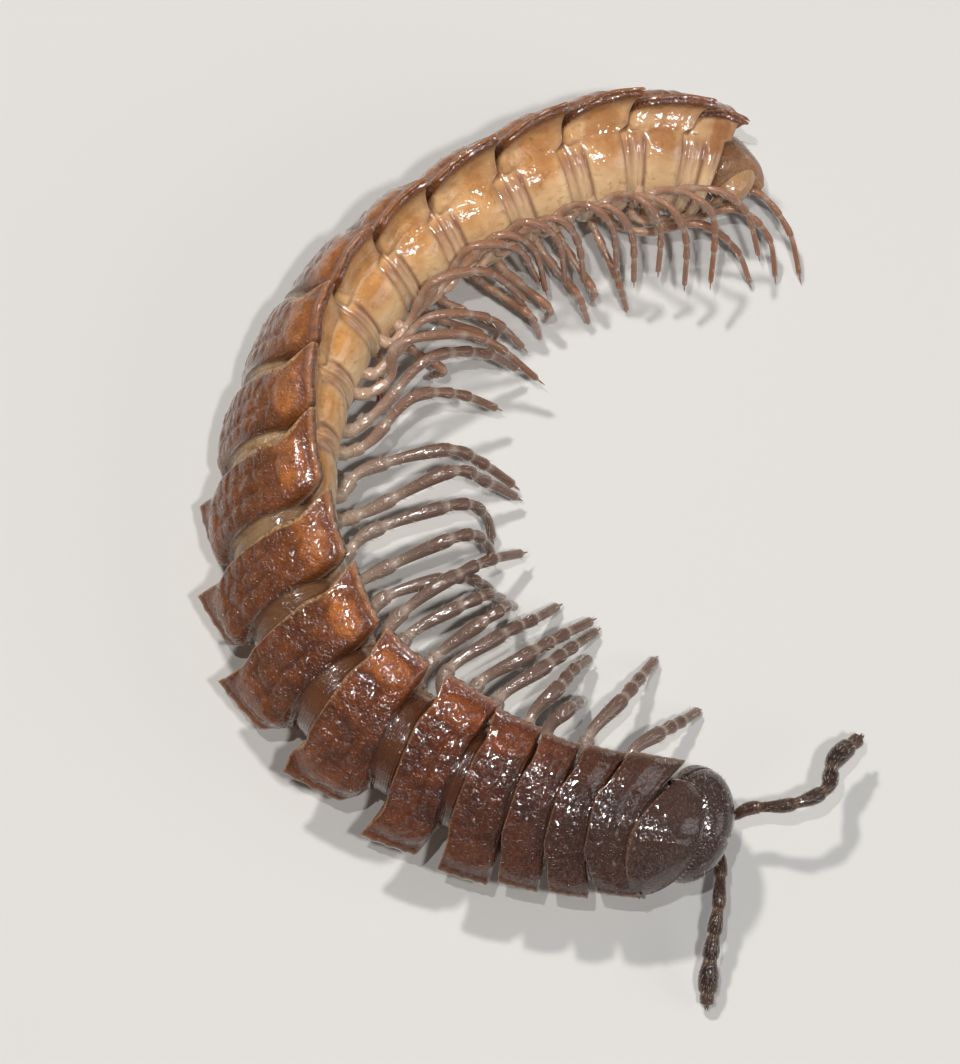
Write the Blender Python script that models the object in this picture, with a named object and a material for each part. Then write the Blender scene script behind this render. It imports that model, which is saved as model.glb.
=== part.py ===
"""Flat-backed millipede, life size, curled and half rolled on to its right side.

Sizes are in millimetres and become metres where a mesh is made. The animal heads along +X, its head
at lower right and its tail at upper right seen from above, and rests on the plane z = 0.
"""
import math

import bmesh
import bpy
import numpy as np
from mathutils import Matrix, Vector

MM = 0.001
GAP = 0.2
FLOOR = 0.0

# The middle of the body from in front of the head to behind the tail: x, y, height, roll, yaw.
# Roll 0 is upright, and at 90 the animal lies on its right side with its back outwards.
# Yaw turns a ring's side plates so that the right one lies further forward than the left one.
BODY_PATH = (
    (3.90, -6.42, 2.18, 16.0, 0.0),
    (2.63, -6.24, 2.20, 18.0, 0.0),
    (0.33, -5.75, 2.22, 22.0, 0.0),
    (-1.83, -4.80, 2.22, 26.0, 4.0),
    (-3.82, -3.36, 2.20, 29.0, 8.0),
    (-4.90, -0.83, 2.12, 36.0, 15.0),
    (-5.03, 1.76, 2.00, 50.0, 18.0),
    (-4.34, 4.08, 1.88, 65.0, 8.0),
    (-2.85, 5.87, 1.82, 79.0, 0.0),
    (-0.33, 7.36, 1.87, 91.0, 0.0),
    (1.65, 8.12, 1.80, 94.0, 0.0),
    (2.93, 8.18, 1.67, 95.0, 0.0),
    (4.00, 7.98, 1.48, 96.0, 0.0),
    (4.85, 7.45, 1.32, 96.0, 0.0),
    (5.35, 6.65, 1.20, 96.0, 0.0),
)
HEAD_RUN = 0.55
PATH_SAMPLES = 900

# Body rings in order from the collum: length along the body and half width across the side plates.
RING_LENGTH = (1.24, 0.84, 0.76, 0.80, 1.14, 1.36, 1.62, 1.72, 1.68, 1.65,
               1.55, 1.60, 1.60, 1.45, 1.55, 1.38, 1.30, 1.20, 0.80)
HALF_WIDTH = (1.22, 1.40, 1.42, 1.48, 1.64, 1.78, 1.86, 1.90, 1.92, 1.92,
              1.92, 1.92, 1.90, 1.90, 1.88, 1.86, 1.80, 1.64, 1.32)
LAST_RING = 19
LAST_LEGGED_RING = 18
FIRST_DOUBLE_RING = 5

# The ring's cross-section: the trunk tube and the side plates that stand out from its upper third.
TRUNK_HALF_WIDTH = 1.18
TRUNK_TOP = 0.92
TRUNK_BOTTOM = -1.22
PROZONITE_SCALE = 0.93
PLATE_EDGE_HEIGHT = 0.46
PLATE_EDGE_THICKNESS = 0.24
PLATE_ROOT_DEPTH = 0.52
METAZONITE_LENGTH = 1.18
METAZONITE_SHARE = 0.80
SIDE_COUNT = 9

# How far back the side plates of a ring reach beyond its middle, by ring; the first ones lean forward.
PLATE_SWEEP = ((1, -0.40), (2, -0.30), (3, -0.25), (4, -0.12), (5, 0.0), (8, 0.12), (12, 0.14),
               (14, 0.22), (16, 0.32), (18, 0.36), (19, 0.30))
SWEEP_START_IN_FRONT = 0.45

# One walking leg: its whole length, and its half thickness at shares of that length.
LEG_LENGTH = 3.3
LEG_PROFILE = ((0.00, 0.22), (0.26, 0.21), (0.46, 0.225), (0.58, 0.19), (0.82, 0.15), (1.00, 0.07))
UPPER_SHARE = 0.52
LEG_ROOT_SIDE = 0.44
LEG_ROOT_SUNK = 0.30

# The middle of the model's bounding box along the paths as written, which becomes the origin.
PATH_CENTRE = (-0.08, -0.13)


def smooth_step(value):
    """Ease a value from 0 to 1."""
    x = min(1.0, max(0.0, value))
    return x * x * (3.0 - 2.0 * x)


def by_ring(table, number):
    """Read a table of values by ring number."""
    return float(np.interp(number, [n for n, _ in table], [x for _, x in table]))


def catmull_rom(points, samples):
    """Sample a smooth curve that passes through the rows of points."""
    pts = np.array(points, float)
    padded = np.vstack([2 * pts[0] - pts[1], pts, 2 * pts[-1] - pts[-2]])
    spans = len(pts) - 1
    out = []
    for t in np.linspace(0.0, spans, samples):
        k = min(int(t), spans - 1)
        x = t - k
        a, b, c, d = padded[k:k + 4]
        out.append(0.5 * (2 * b + (c - a) * x + (2 * a - 5 * b + 4 * c - d) * x ** 2
                          + (3 * b - a - 3 * c + d) * x ** 3))
    return np.array(out)


class BodyLine:
    """The bent and twisted middle line of the body, measured in mm from the collum's front edge."""

    def __init__(self):
        path = catmull_rom(BODY_PATH, PATH_SAMPLES)
        path[:, 0] -= PATH_CENTRE[0]
        path[:, 1] -= PATH_CENTRE[1]
        steps = np.linalg.norm(np.diff(path[:, :3], axis=0), axis=1)
        self.s = np.concatenate([[0.0], np.cumsum(steps)]) - HEAD_RUN
        self.path = path
        self.tangent = np.gradient(path[:, :3], self.s, axis=0)

    def _at(self, table, s):
        return np.array([np.interp(s, self.s, table[:, k]) for k in range(table.shape[1])])

    def frame(self, s):
        """Give the middle, forward, left, dorsal and inward unit vectors at s."""
        row = self._at(self.path, s)
        along = Vector(-self._at(self.tangent, s)).normalized()
        inward = Vector((0, 0, 1)).cross(along).normalized()
        up = along.cross(inward)
        roll = math.radians(row[3])
        yaw = math.radians(row[4])
        across = inward * math.cos(roll) + up * math.sin(roll)
        dorsal = up * math.cos(roll) - inward * math.sin(roll)
        left = across * math.cos(yaw) - along * math.sin(yaw)
        forward = along * math.cos(yaw) + across * math.sin(yaw)
        return Vector(row[:3]), forward, left, dorsal, inward

    def place(self, s, v, w):
        """Turn a distance along the body, to the left and towards the back into a point."""
        middle, _, left, dorsal, _ = self.frame(s)
        return middle + left * v + dorsal * w


LINE = BodyLine()
RING_START = [sum(RING_LENGTH[:k]) for k in range(len(RING_LENGTH) + 1)]


def mesh_object(name, verts, faces):
    """Make a closed, smooth-shaded object from points in mm."""
    mesh = bpy.data.meshes.new(name)
    mesh.from_pydata([Vector(p) * MM for p in verts], [], faces)
    bm = bmesh.new()
    bm.from_mesh(mesh)
    bmesh.ops.recalc_face_normals(bm, faces=bm.faces)
    bm.to_mesh(mesh)
    bm.free()
    obj = bpy.data.objects.new(name, mesh)
    bpy.context.scene.collection.objects.link(obj)
    return obj


def loft(name, rows):
    """Join rows of points, each a closed outline with the same count, into a closed body."""
    count = len(rows[0])
    verts = [p for row in rows for p in row]
    faces = [list(range(count)), [len(verts) - count + k for k in range(count)][::-1]]
    for r in range(len(rows) - 1):
        a, b = r * count, (r + 1) * count
        for k in range(count):
            n = (k + 1) % count
            faces.append((a + k, a + n, b + n))
            faces.append((a + k, b + n, b + k))
    return mesh_object(name, verts, faces)


def tube(name, points, radii, sides_level=1):
    """A tapered round limb along points in mm, as a closed mesh."""
    curve = bpy.data.curves.new(name, "CURVE")
    curve.dimensions = "3D"
    curve.bevel_depth = MM
    curve.bevel_resolution = sides_level
    curve.use_fill_caps = True
    spline = curve.splines.new("POLY")
    spline.points.add(len(points) - 1)
    for knot, p, r in zip(spline.points, points, radii):
        knot.co = (*(Vector(p) * MM), 1.0)
        knot.radius = r
    rod = bpy.data.objects.new(name, curve)
    bpy.context.scene.collection.objects.link(rod)
    bpy.context.view_layer.update()
    mesh = bpy.data.meshes.new_from_object(rod.evaluated_get(bpy.context.evaluated_depsgraph_get()))
    bpy.data.objects.remove(rod)
    bm = bmesh.new()
    bm.from_mesh(mesh)
    bmesh.ops.remove_doubles(bm, verts=bm.verts, dist=1e-7)
    bmesh.ops.recalc_face_normals(bm, faces=bm.faces)
    bm.to_mesh(mesh)
    bm.free()
    obj = bpy.data.objects.new(name, mesh)
    bpy.context.scene.collection.objects.link(obj)
    return obj


def ball(name, centre, axes, radii, segments=16, rings=10):
    """An ellipsoid with its three half sizes along three given axes."""
    mesh = bpy.data.meshes.new(name)
    bm = bmesh.new()
    bmesh.ops.create_uvsphere(bm, u_segments=segments, v_segments=rings, radius=1.0)
    turn = Matrix([axes[k] * radii[k] * MM for k in range(3)]).transposed().to_4x4()
    bmesh.ops.transform(bm, matrix=Matrix.Translation(Vector(centre) * MM) @ turn, verts=bm.verts)
    bmesh.ops.recalc_face_normals(bm, faces=bm.faces)
    bm.to_mesh(mesh)
    bm.free()
    obj = bpy.data.objects.new(name, mesh)
    bpy.context.scene.collection.objects.link(obj)
    return obj


def keep_largest_body(mesh):
    """Keep only the largest closed surface of a mesh."""
    bm = bmesh.new()
    bm.from_mesh(mesh)
    bm.verts.ensure_lookup_table()
    seen, shells = set(), []
    for start in bm.verts:
        if start.index in seen:
            continue
        stack, shell = [start], []
        seen.add(start.index)
        while stack:
            vert = stack.pop()
            shell.append(vert)
            for edge in vert.link_edges:
                other = edge.other_vert(vert)
                if other.index not in seen:
                    seen.add(other.index)
                    stack.append(other)
        shells.append(shell)
    shells.sort(key=len)
    for shell in shells[:-1]:
        bmesh.ops.delete(bm, geom=shell, context="VERTS")
    bmesh.ops.triangulate(bm, faces=bm.faces)
    bm.to_mesh(mesh)
    bm.free()


def fuse(name, core, pieces, cutters, look):
    """Union the pieces with the core, cut away the cutters, and leave one closed named body."""
    group = bpy.data.collections.new(name + "_pieces")
    bpy.context.scene.collection.children.link(group)
    for piece in pieces:
        bpy.context.scene.collection.objects.unlink(piece)
        group.objects.link(piece)
    if pieces:
        join = core.modifiers.new("join", "BOOLEAN")
        join.operation = "UNION"
        join.operand_type = "COLLECTION"
        join.collection = group
        join.solver = "MANIFOLD"
    for cutter in cutters:
        cut = core.modifiers.new("cut", "BOOLEAN")
        cut.operation = "DIFFERENCE"
        cut.object = cutter
        cut.solver = "MANIFOLD"
    bpy.context.view_layer.update()
    mesh = bpy.data.meshes.new_from_object(core.evaluated_get(bpy.context.evaluated_depsgraph_get()))
    keep_largest_body(mesh)
    for piece in pieces:
        bpy.data.objects.remove(piece)
    bpy.data.collections.remove(group)
    bpy.data.objects.remove(core)
    mesh.name = name
    mesh.materials.clear()
    mesh.materials.append(look)
    mesh.shade_smooth()
    mesh.set_sharp_from_angle(angle=math.radians(40))
    obj = bpy.data.objects.new(name, mesh)
    MODEL.objects.link(obj)
    return obj


def material(name, colour, roughness):
    """A plain shell material."""
    look = bpy.data.materials.new(name)
    look.use_nodes = True
    shader = look.node_tree.nodes["Principled BSDF"]
    shader.inputs["Base Color"].default_value = (*colour, 1.0)
    shader.inputs["Roughness"].default_value = roughness
    shader.inputs["Metallic"].default_value = 0.0
    return look


def tube_angles():
    """Angles round the trunk in degrees, from the right edge over the back and round below."""
    back = [172.0 - k * 164.0 / (SIDE_COUNT - 1) for k in range(SIDE_COUNT)]
    below = [-4.0, -18.0, -34.0, -52.0, -72.0, -90.0, -108.0, -128.0, -146.0, -162.0, -176.0]
    return back + below


def trunk_outline(scale):
    """Cross-section of the bare trunk tube."""
    middle = 0.5 * (TRUNK_TOP + TRUNK_BOTTOM)
    half_height = 0.5 * (TRUNK_TOP - TRUNK_BOTTOM) * scale
    half_width = TRUNK_HALF_WIDTH * scale
    return [(half_width * math.cos(math.radians(a)), middle + half_height * math.sin(math.radians(a)))
            for a in tube_angles()]


def plate_outline(half_width, edge_height, top=TRUNK_TOP, trunk_scale=1.0):
    """Cross-section through the side plates: an arched back, thin edges, and the trunk below."""
    bare = trunk_outline(trunk_scale)
    outline = []
    for k in range(SIDE_COUNT):
        x = -1.0 + 2.0 * k / (SIDE_COUNT - 1)
        x = math.copysign(abs(x) ** 0.85, x)
        rise = (top - edge_height) * (1.0 - abs(x) ** 2.2)
        outline.append((half_width * x, edge_height + rise))
    trunk = TRUNK_HALF_WIDTH * trunk_scale
    root = trunk + 0.02 + 0.1 * max(0.0, half_width - trunk)
    side = [(half_width * 0.985, edge_height - PLATE_EDGE_THICKNESS),
            (root, edge_height - PLATE_ROOT_DEPTH)]
    low = bare[SIDE_COUNT + 2:SIDE_COUNT + 9]
    return outline + side + low + [(-v, w) for v, w in reversed(side)]


def plate_share(f):
    """How far the side plate stands out at share f of its length: a rounded shoulder in front."""
    if f < 0.3:
        return math.sin(math.pi / 2 * (f / 0.3) ** 0.75) * 0.93
    if f < 0.8:
        return 0.93 + 0.07 * smooth_step((f - 0.3) / 0.5)
    return 1.0 - 0.05 * smooth_step((f - 0.8) / 0.2)


def swept(number, v):
    """How far back a point at distance v from the middle plane of a ring is moved."""
    sweep = by_ring(PLATE_SWEEP, number)
    start = TRUNK_HALF_WIDTH - (TRUNK_HALF_WIDTH - SWEEP_START_IN_FRONT) * (1 - smooth_step((number - 4) / 3))
    out = max(0.0, abs(v) - start) / (HALF_WIDTH[number - 1] - start)
    return sweep * out ** 1.5


class Ring:
    """One body ring: a plain front tube, a wider hind part with side plates, and its legs."""

    def __init__(self, number):
        self.number = number
        self.start = RING_START[number - 1] + GAP / 2
        self.end = RING_START[number] - GAP / 2
        self.length = self.end - self.start
        self.half_width = HALF_WIDTH[number - 1]
        self.hind = min(METAZONITE_LENGTH, METAZONITE_SHARE * self.length)
        self.front = self.length - self.hind
        self.middle = self.start + self.front + 0.5 * self.hind

    def place(self, a, v, w):
        """A point of the ring, with the outer side plate kept stiff where the body bends."""
        s = self.start + a
        bent = LINE.place(s, v, w)
        centre, forward, left, dorsal, _ = LINE.frame(self.middle)
        stiff = centre - forward * (s - self.middle) + left * v + dorsal * w
        share = smooth_step((-v - TRUNK_HALF_WIDTH) / 0.4)
        return bent.lerp(stiff, share)

    def body(self):
        """The ring without its legs."""
        rows = []
        for a, scale in ((0.0, 0.90), (0.07, 1.0), (self.front, 1.0)):
            rows.append([self.place(a + swept(self.number, v), v, w)
                         for v, w in trunk_outline(PROZONITE_SCALE * scale)])
        for f in (0.04, 0.14, 0.32, 0.62, 0.88, 1.0):
            width = TRUNK_HALF_WIDTH + 0.06 + plate_share(f) * (self.half_width - TRUNK_HALF_WIDTH - 0.06)
            rows.append([self.place(self.front + f * self.hind + swept(self.number, v), v, w)
                         for v, w in plate_outline(width, PLATE_EDGE_HEIGHT)])
        return loft("ring_core", rows)

    def leg_roots(self):
        """Distances from the ring's front at which its pairs of legs stand."""
        if self.number < FIRST_DOUBLE_RING:
            return (self.front + 0.5 * self.hind,)
        return (self.length * 0.30, self.length * 0.73)


# Left legs point, seen from above, along these bearings from +X in degrees, by ring.
LEFT_BEARING = ((2, 33.0), (3, 43.0), (4, 43.0), (5, 38.5), (6, 32.0), (7, 26.0), (8, 19.0),
                (9, 12.0), (10, 4.0), (11, -3.0), (12, -9.0), (13, -15.0), (14, -25.0),
                (15, -38.0), (16, -53.0), (17, -66.0), (18, -62.0))
# Legs are shorter and more slender at both ends of the body, by ring.
LEG_SIZE = ((2, 0.84), (5, 1.0), (15, 1.0), (18, 0.86))
LEG_STOUTNESS = ((2, 0.92), (5, 1.0), (15, 0.96), (18, 0.80))
# The body's roll at which its legs begin to hang free, and at which they all do.
LYING_FROM = 42.0
LYING_TO = 92.0
# The left legs' reach as a share of their length, the height of their tips and how much both
# change from one leg of a ring to the next, standing and lying.
LEFT_REACH = (0.88, 0.56)
LEFT_REACH_STEP = (-0.04, -0.05)
LEFT_TIP = (0.15, 1.25)
LEFT_TIP_STEP = (0.10, 0.22)
# The right legs, folded under the body: how their feet lie from the hip, and how far they reach
# where they lie free.
RIGHT_FOLD_OUT = 0.35
RIGHT_FOLD_AHEAD = 0.25
RIGHT_REACH = 1.35
RIGHT_REACH_STEP = 0.20
RIGHT_LENGTH = 0.86
FOOT_HEIGHT = 0.05
HIP_OUT = 1.15
HIP_BELOW = 0.12


def bend_leg(root, tip, lift, length):
    """Points of a leg from root to tip whose knee rises towards lift so that its length holds."""
    chord = tip - root
    reach = min(chord.length, 0.985 * length)
    chord.normalize()
    tip = root + chord * reach
    upper = UPPER_SHARE * length
    lower = length - upper
    along = (reach ** 2 + upper ** 2 - lower ** 2) / (2 * reach)
    rise = math.sqrt(max(0.0, upper ** 2 - along ** 2))
    side = (lift - chord * lift.dot(chord)).normalized()
    knee = root + chord * along + side * rise
    points = []
    for share, _ in LEG_PROFILE:
        if share <= UPPER_SHARE:
            p = root.lerp(knee, share / UPPER_SHARE)
        else:
            p = knee.lerp(tip, (share - UPPER_SHARE) / (1 - UPPER_SHARE))
        points.append(p)
    return points


def leg_path(ring, a, left_side):
    """Points and half thickness of a leg: reaching on the left, folded under the body on the right."""
    middle, forward, left, dorsal, inward = LINE.frame(ring.start + a)
    side = LEG_ROOT_SIDE if left_side else -LEG_ROOT_SIDE
    root = middle + left * side + dorsal * (TRUNK_BOTTOM + LEG_ROOT_SUNK)
    hip = middle + left * (side * HIP_OUT) + dorsal * (TRUNK_BOTTOM - HIP_BELOW)
    roll = math.degrees(math.atan2(left.z, dorsal.z))
    lying = min(1.0, max(0.0, (roll - LYING_FROM) / (LYING_TO - LYING_FROM)))
    bearing = math.radians(by_ring(LEFT_BEARING, ring.number + a / ring.length - 0.5))
    heading = Vector((math.cos(bearing), math.sin(bearing), 0))
    up = Vector((0, 0, 1))
    size = LEG_LENGTH * by_ring(LEG_SIZE, ring.number)
    step = 1.0 if a < 0.5 * ring.length else -1.0

    def mixed(pair, change=(0.0, 0.0)):
        return (pair[0] + change[0] * step) * (1 - lying) + (pair[1] + change[1] * step) * lying

    if left_side:
        tip = hip + heading * (size * mixed(LEFT_REACH, LEFT_REACH_STEP))
        tip.z = mixed(LEFT_TIP, LEFT_TIP_STEP)
        lift = up
    else:
        free = smooth_step(lying / 0.5)
        folded = forward * RIGHT_FOLD_AHEAD - inward * RIGHT_FOLD_OUT
        tip = hip + folded * (1 - free) + heading * ((RIGHT_REACH + RIGHT_REACH_STEP * step) * free)
        tip.z = FOOT_HEIGHT
        lift = (up * 0.35 - inward) * (1 - free) + (up + heading * 0.3) * free
        size *= RIGHT_LENGTH
    points = [root] + bend_leg(hip, tip, lift, size)
    stout = by_ring(LEG_STOUTNESS, ring.number)
    radii = [LEG_PROFILE[0][1] * stout] + [r * stout for _, r in LEG_PROFILE]
    return points, radii


def build_rings(look, leg_cutters):
    """All body rings behind the collum."""
    for number in range(2, LAST_RING + 1):
        ring = Ring(number)
        pieces = []
        if number <= LAST_LEGGED_RING:
            for a in ring.leg_roots():
                for left_side in (True, False):
                    pieces.append(tube("leg", *leg_path(ring, a, left_side)))
        fuse(f"ring_{number:02d}", ring.body(), pieces, leg_cutters, look)


# The collum, the shield behind the head, and how far back its widest place lies.
COLLUM_WIDEST = 0.62
COLLUM_EDGE_HEIGHT = 0.22
COLLUM_FRONT_DROP = 0.42


def collum_body(name, grown):
    """The collum as a domed shield over the neck; grown makes it larger by that much all round."""
    length = RING_LENGTH[0] - GAP
    rows = []
    for f in (0.02, 0.12, 0.30, 0.55, 0.85, 1.0):
        ahead = max(0.0, 1.0 - f / COLLUM_WIDEST)
        width = HALF_WIDTH[0] * math.sqrt(1.0 - ahead ** 2) - 0.05 * max(0.0, f - 0.85)
        top = TRUNK_TOP - 0.04 - COLLUM_FRONT_DROP * ahead ** 2
        scale = min(PROZONITE_SCALE, 0.84 * width / TRUNK_HALF_WIDTH)
        edge = COLLUM_EDGE_HEIGHT - 0.12 * ahead
        outline = plate_outline(width, edge, top, scale)
        s = GAP / 2 + f * length + (f - 0.5) * 2.0 * grown
        middle = sum(w for _, w in outline) / len(outline)
        row = []
        for v, w in outline:
            arm = Vector((v, w - middle))
            arm *= 1.0 + grown / arm.length
            row.append(LINE.place(s + swept(1, arm.x), arm.x, middle + arm.y))
        rows.append(row)
    return loft(name, rows)


# The head hangs face down in front of the collum.
HEAD_BACK = 0.06
HEAD_DROP = 0.20
HEAD_PITCH = 38.0
CRANIUM = (1.08, 0.95, 0.66)
CHEEK = (0.36, 0.50, 0.44)
CHEEK_AT = (0.74, -0.34, 0.10)
CLYPEUS = (0.66, 0.40, 0.40)
CLYPEUS_AT = (0.0, -0.60, 0.26)
LABRUM = (0.44, 0.13, 0.24)
LABRUM_AT = (0.0, -0.97, 0.26)
GNATHOCHILARIUM = (0.56, 0.44, 0.30)
GNATHOCHILARIUM_AT = (0.0, -0.70, -0.26)
GROOVE = (0.06, 0.62, 0.12)
GROOVE_AT = (0.0, 0.42, 0.60)
SOCKET_RADIUS = 0.37
SOCKET_AT = (0.42, -0.06, 0.66)

# The feelers: places their articles pass after the socket, and half thickness along them.
LEFT_FEELER = ((4.40, -5.60, 1.62), (5.17, -5.60, 1.92), (5.87, -5.26, 1.80),
               (6.07, -4.60, 1.50), (6.63, -4.04, 1.20))
RIGHT_FEELER = ((3.76, -7.31, 1.32), (3.68, -7.87, 1.12), (3.58, -8.50, 0.80), (3.52, -9.34, 0.32))
FEELER_RADII = (0.16, 0.18, 0.21, 0.17, 0.21, 0.17, 0.22, 0.19, 0.25, 0.22, 0.11)


class Head:
    """The head capsule and the places on it."""

    def __init__(self):
        middle, forward, left, dorsal, _ = LINE.frame(HEAD_BACK)
        pitch = math.radians(HEAD_PITCH)
        self.middle = middle - dorsal * HEAD_DROP
        self.axes = (left, dorsal * math.cos(pitch) + forward * math.sin(pitch),
                     forward * math.cos(pitch) - dorsal * math.sin(pitch))

    def at(self, place, mirror=1.0):
        """A point of the head from distances to the left, to the crown and out of the face."""
        left, crown, face = self.axes
        return self.middle + left * (place[0] * mirror) + crown * place[1] + face * place[2]

    def lobe(self, name, size, place=(0.0, 0.0, 0.0), mirror=1.0, segments=14, rings=8):
        """An ellipsoid of the head."""
        return ball(name, self.at(place, mirror), self.axes, size, segments, rings)

    def build(self, look, collum_cutter):
        """The head with its mouthparts, grooves and feeler sockets."""
        pieces = [self.lobe("cheek", CHEEK, CHEEK_AT, 1.0, 12, 7),
                  self.lobe("cheek", CHEEK, CHEEK_AT, -1.0, 12, 7),
                  self.lobe("clypeus", CLYPEUS, CLYPEUS_AT),
                  self.lobe("labrum", LABRUM, LABRUM_AT, 1.0, 12, 6),
                  self.lobe("gnathochilarium", GNATHOCHILARIUM, GNATHOCHILARIUM_AT)]
        socket = (SOCKET_RADIUS,) * 3
        cutters = [self.lobe("groove", GROOVE, GROOVE_AT, 1.0, 8, 8),
                   self.lobe("socket", socket, SOCKET_AT, 1.0, 12, 8),
                   self.lobe("socket", socket, SOCKET_AT, -1.0, 12, 8), collum_cutter]
        core = self.lobe("cranium", CRANIUM, segments=24, rings=14)
        obj = fuse("head", core, pieces, cutters, look)
        for cutter in cutters:
            bpy.data.objects.remove(cutter)
        return obj


def build_feeler(name, head, mirror, places, look):
    """One feeler, from its socket through its articles to the tip."""
    root = head.at((SOCKET_AT[0], SOCKET_AT[1], SOCKET_AT[2] - 0.10), mirror)
    out = head.at((SOCKET_AT[0], SOCKET_AT[1], SOCKET_AT[2] + 0.30), mirror)
    moved = [Vector(p) - Vector((*PATH_CENTRE, 0.0)) for p in places]
    route = catmull_rom([root, out, *moved], 120)
    steps = np.concatenate([[0.0], np.cumsum(np.linalg.norm(np.diff(route, axis=0), axis=1))])
    shares = np.linspace(0.0, steps[-1], len(FEELER_RADII))
    points = [[np.interp(x, steps, route[:, k]) for k in range(3)] for x in shares]
    return fuse(name, tube("feeler", points, FEELER_RADII, 2), [], [], look)


# The telson: a cone that ends in a spine over the anal valves.
TELSON_LENGTH = 1.12
TELSON_BEHIND = 0.16
TELSON_SCALE = ((0.0, 0.80, 0.0), (0.18, 0.82, 0.0), (0.45, 0.62, 0.05), (0.70, 0.40, 0.12),
                (0.86, 0.22, 0.14), (1.0, 0.09, 0.08))
VALVE = (0.30, 0.52, 0.42)
VALVE_AT = (0.20, -0.30, 0.52)
SCALE_PLATE = (0.34, 0.30, 0.16)
SCALE_PLATE_AT = (0.0, -0.66, 0.34)


def build_telson(look):
    """The last piece of the body, with its spine, two anal valves and the scale below them."""
    start = RING_START[-1] + TELSON_BEHIND
    rows = []
    for f, scale, lift in TELSON_SCALE:
        rows.append([LINE.place(start + f * TELSON_LENGTH, v * 0.82, w * 0.9 + lift)
                     for v, w in trunk_outline(scale)])
    core = loft("telson_core", rows)
    pieces = []
    for place, size, sides in ((VALVE_AT, VALVE, (1.0, -1.0)), (SCALE_PLATE_AT, SCALE_PLATE, (1.0,))):
        for side in sides:
            s = start + place[2]
            middle, forward, left, dorsal, _ = LINE.frame(s)
            centre = middle + left * (place[0] * side) + dorsal * place[1]
            pieces.append(ball("valve", centre, (left, dorsal, -forward), size, 12, 8))
    return fuse("telson", core, pieces, [FLOOR_BLOCK], look)


def floor_block():
    """What lies below the plane that the animal rests on, to cut its feet flat."""
    mesh = bpy.data.meshes.new("floor_block")
    bm = bmesh.new()
    bmesh.ops.create_cube(bm, size=1.0)
    size = 60.0 * MM
    depth = 2.0 * MM
    bmesh.ops.transform(bm, matrix=Matrix.Diagonal((size, size, depth, 1.0)), verts=bm.verts)
    bmesh.ops.translate(bm, vec=(0, 0, FLOOR - depth / 2), verts=bm.verts)
    bm.to_mesh(mesh)
    bm.free()
    obj = bpy.data.objects.new("floor_block", mesh)
    obj.hide_render = True
    obj.display_type = "WIRE"
    CUTTERS.objects.link(obj)
    return obj


for old in list(bpy.data.objects):
    bpy.data.objects.remove(old)
MODEL = bpy.data.collections.new("flat_backed_millipede")
CUTTERS = bpy.data.collections.new("cutters")
bpy.context.scene.collection.children.link(MODEL)
bpy.context.scene.collection.children.link(CUTTERS)
RING_LOOK = material("ring_shell", (0.22, 0.09, 0.05), 0.35)
FRONT_LOOK = material("front_shell", (0.10, 0.05, 0.04), 0.35)
FEELER_LOOK = material("feeler_shell", (0.09, 0.04, 0.03), 0.4)
FLOOR_BLOCK = floor_block()
fuse("collum", collum_body("collum_core", 0.0), [], [], FRONT_LOOK)
HEAD = Head()
HEAD.build(FRONT_LOOK, collum_body("collum_cutter", GAP))
build_feeler("antenna_left", HEAD, 1.0, LEFT_FEELER, FEELER_LOOK)
build_feeler("antenna_right", HEAD, -1.0, RIGHT_FEELER, FEELER_LOOK)
build_rings(RING_LOOK, [FLOOR_BLOCK])
build_telson(RING_LOOK)
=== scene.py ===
"""Flat-backed millipede: shell rings, legs, head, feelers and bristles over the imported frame.

Sizes are in millimetres, and a mesh is scaled to metres when it is made. The animal lies curled
with its head at lower right seen from above, rolled more and more on to its right side behind.
"""
from __future__ import annotations

import logging
import math
import random
from dataclasses import dataclass, field
from enum import Enum
from functools import partial

import bpy
import numpy as np
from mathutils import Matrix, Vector
from mathutils.kdtree import KDTree

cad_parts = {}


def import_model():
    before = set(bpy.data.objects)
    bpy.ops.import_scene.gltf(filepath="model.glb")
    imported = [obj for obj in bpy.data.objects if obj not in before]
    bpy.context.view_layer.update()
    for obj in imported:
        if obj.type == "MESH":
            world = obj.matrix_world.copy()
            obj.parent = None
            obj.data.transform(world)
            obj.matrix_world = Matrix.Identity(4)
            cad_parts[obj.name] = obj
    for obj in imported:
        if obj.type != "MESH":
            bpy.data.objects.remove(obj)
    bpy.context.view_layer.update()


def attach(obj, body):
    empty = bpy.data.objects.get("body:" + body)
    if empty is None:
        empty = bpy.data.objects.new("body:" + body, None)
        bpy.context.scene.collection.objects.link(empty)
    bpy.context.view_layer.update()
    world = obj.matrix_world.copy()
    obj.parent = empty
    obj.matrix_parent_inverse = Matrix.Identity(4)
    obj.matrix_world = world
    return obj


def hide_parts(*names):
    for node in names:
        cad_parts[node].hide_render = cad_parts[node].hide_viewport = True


LOG = logging.getLogger("millipede")
MM = 0.001
Array = np.ndarray
Rows = tuple[tuple[float, ...], ...]
Colour = tuple[float, ...]
Triple = tuple[float, float, float]
UP = np.array([0.0, 0.0, 1.0])


def ease(x: Array | float) -> Array:
    """Ease a value or an array from 0 to 1."""
    x = np.clip(x, 0.0, 1.0)
    return x * x * (3.0 - 2.0 * x)


def ridge(x: Array, at: Array | float, width: float) -> Array:
    """Rise to 1 at a place and fall off to both sides of it."""
    return np.exp(-((x - at) / width) ** 2)


def by_ring(table: Rows, number: float) -> float:
    """Read a table of values by ring number."""
    return float(np.interp(number, [n for n, _ in table], [x for _, x in table]))


def unit(vectors: Array) -> Array:
    """Vectors of length one along the last axis."""
    return vectors / np.maximum(np.linalg.norm(vectors, axis=-1, keepdims=True), 1e-12)


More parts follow.
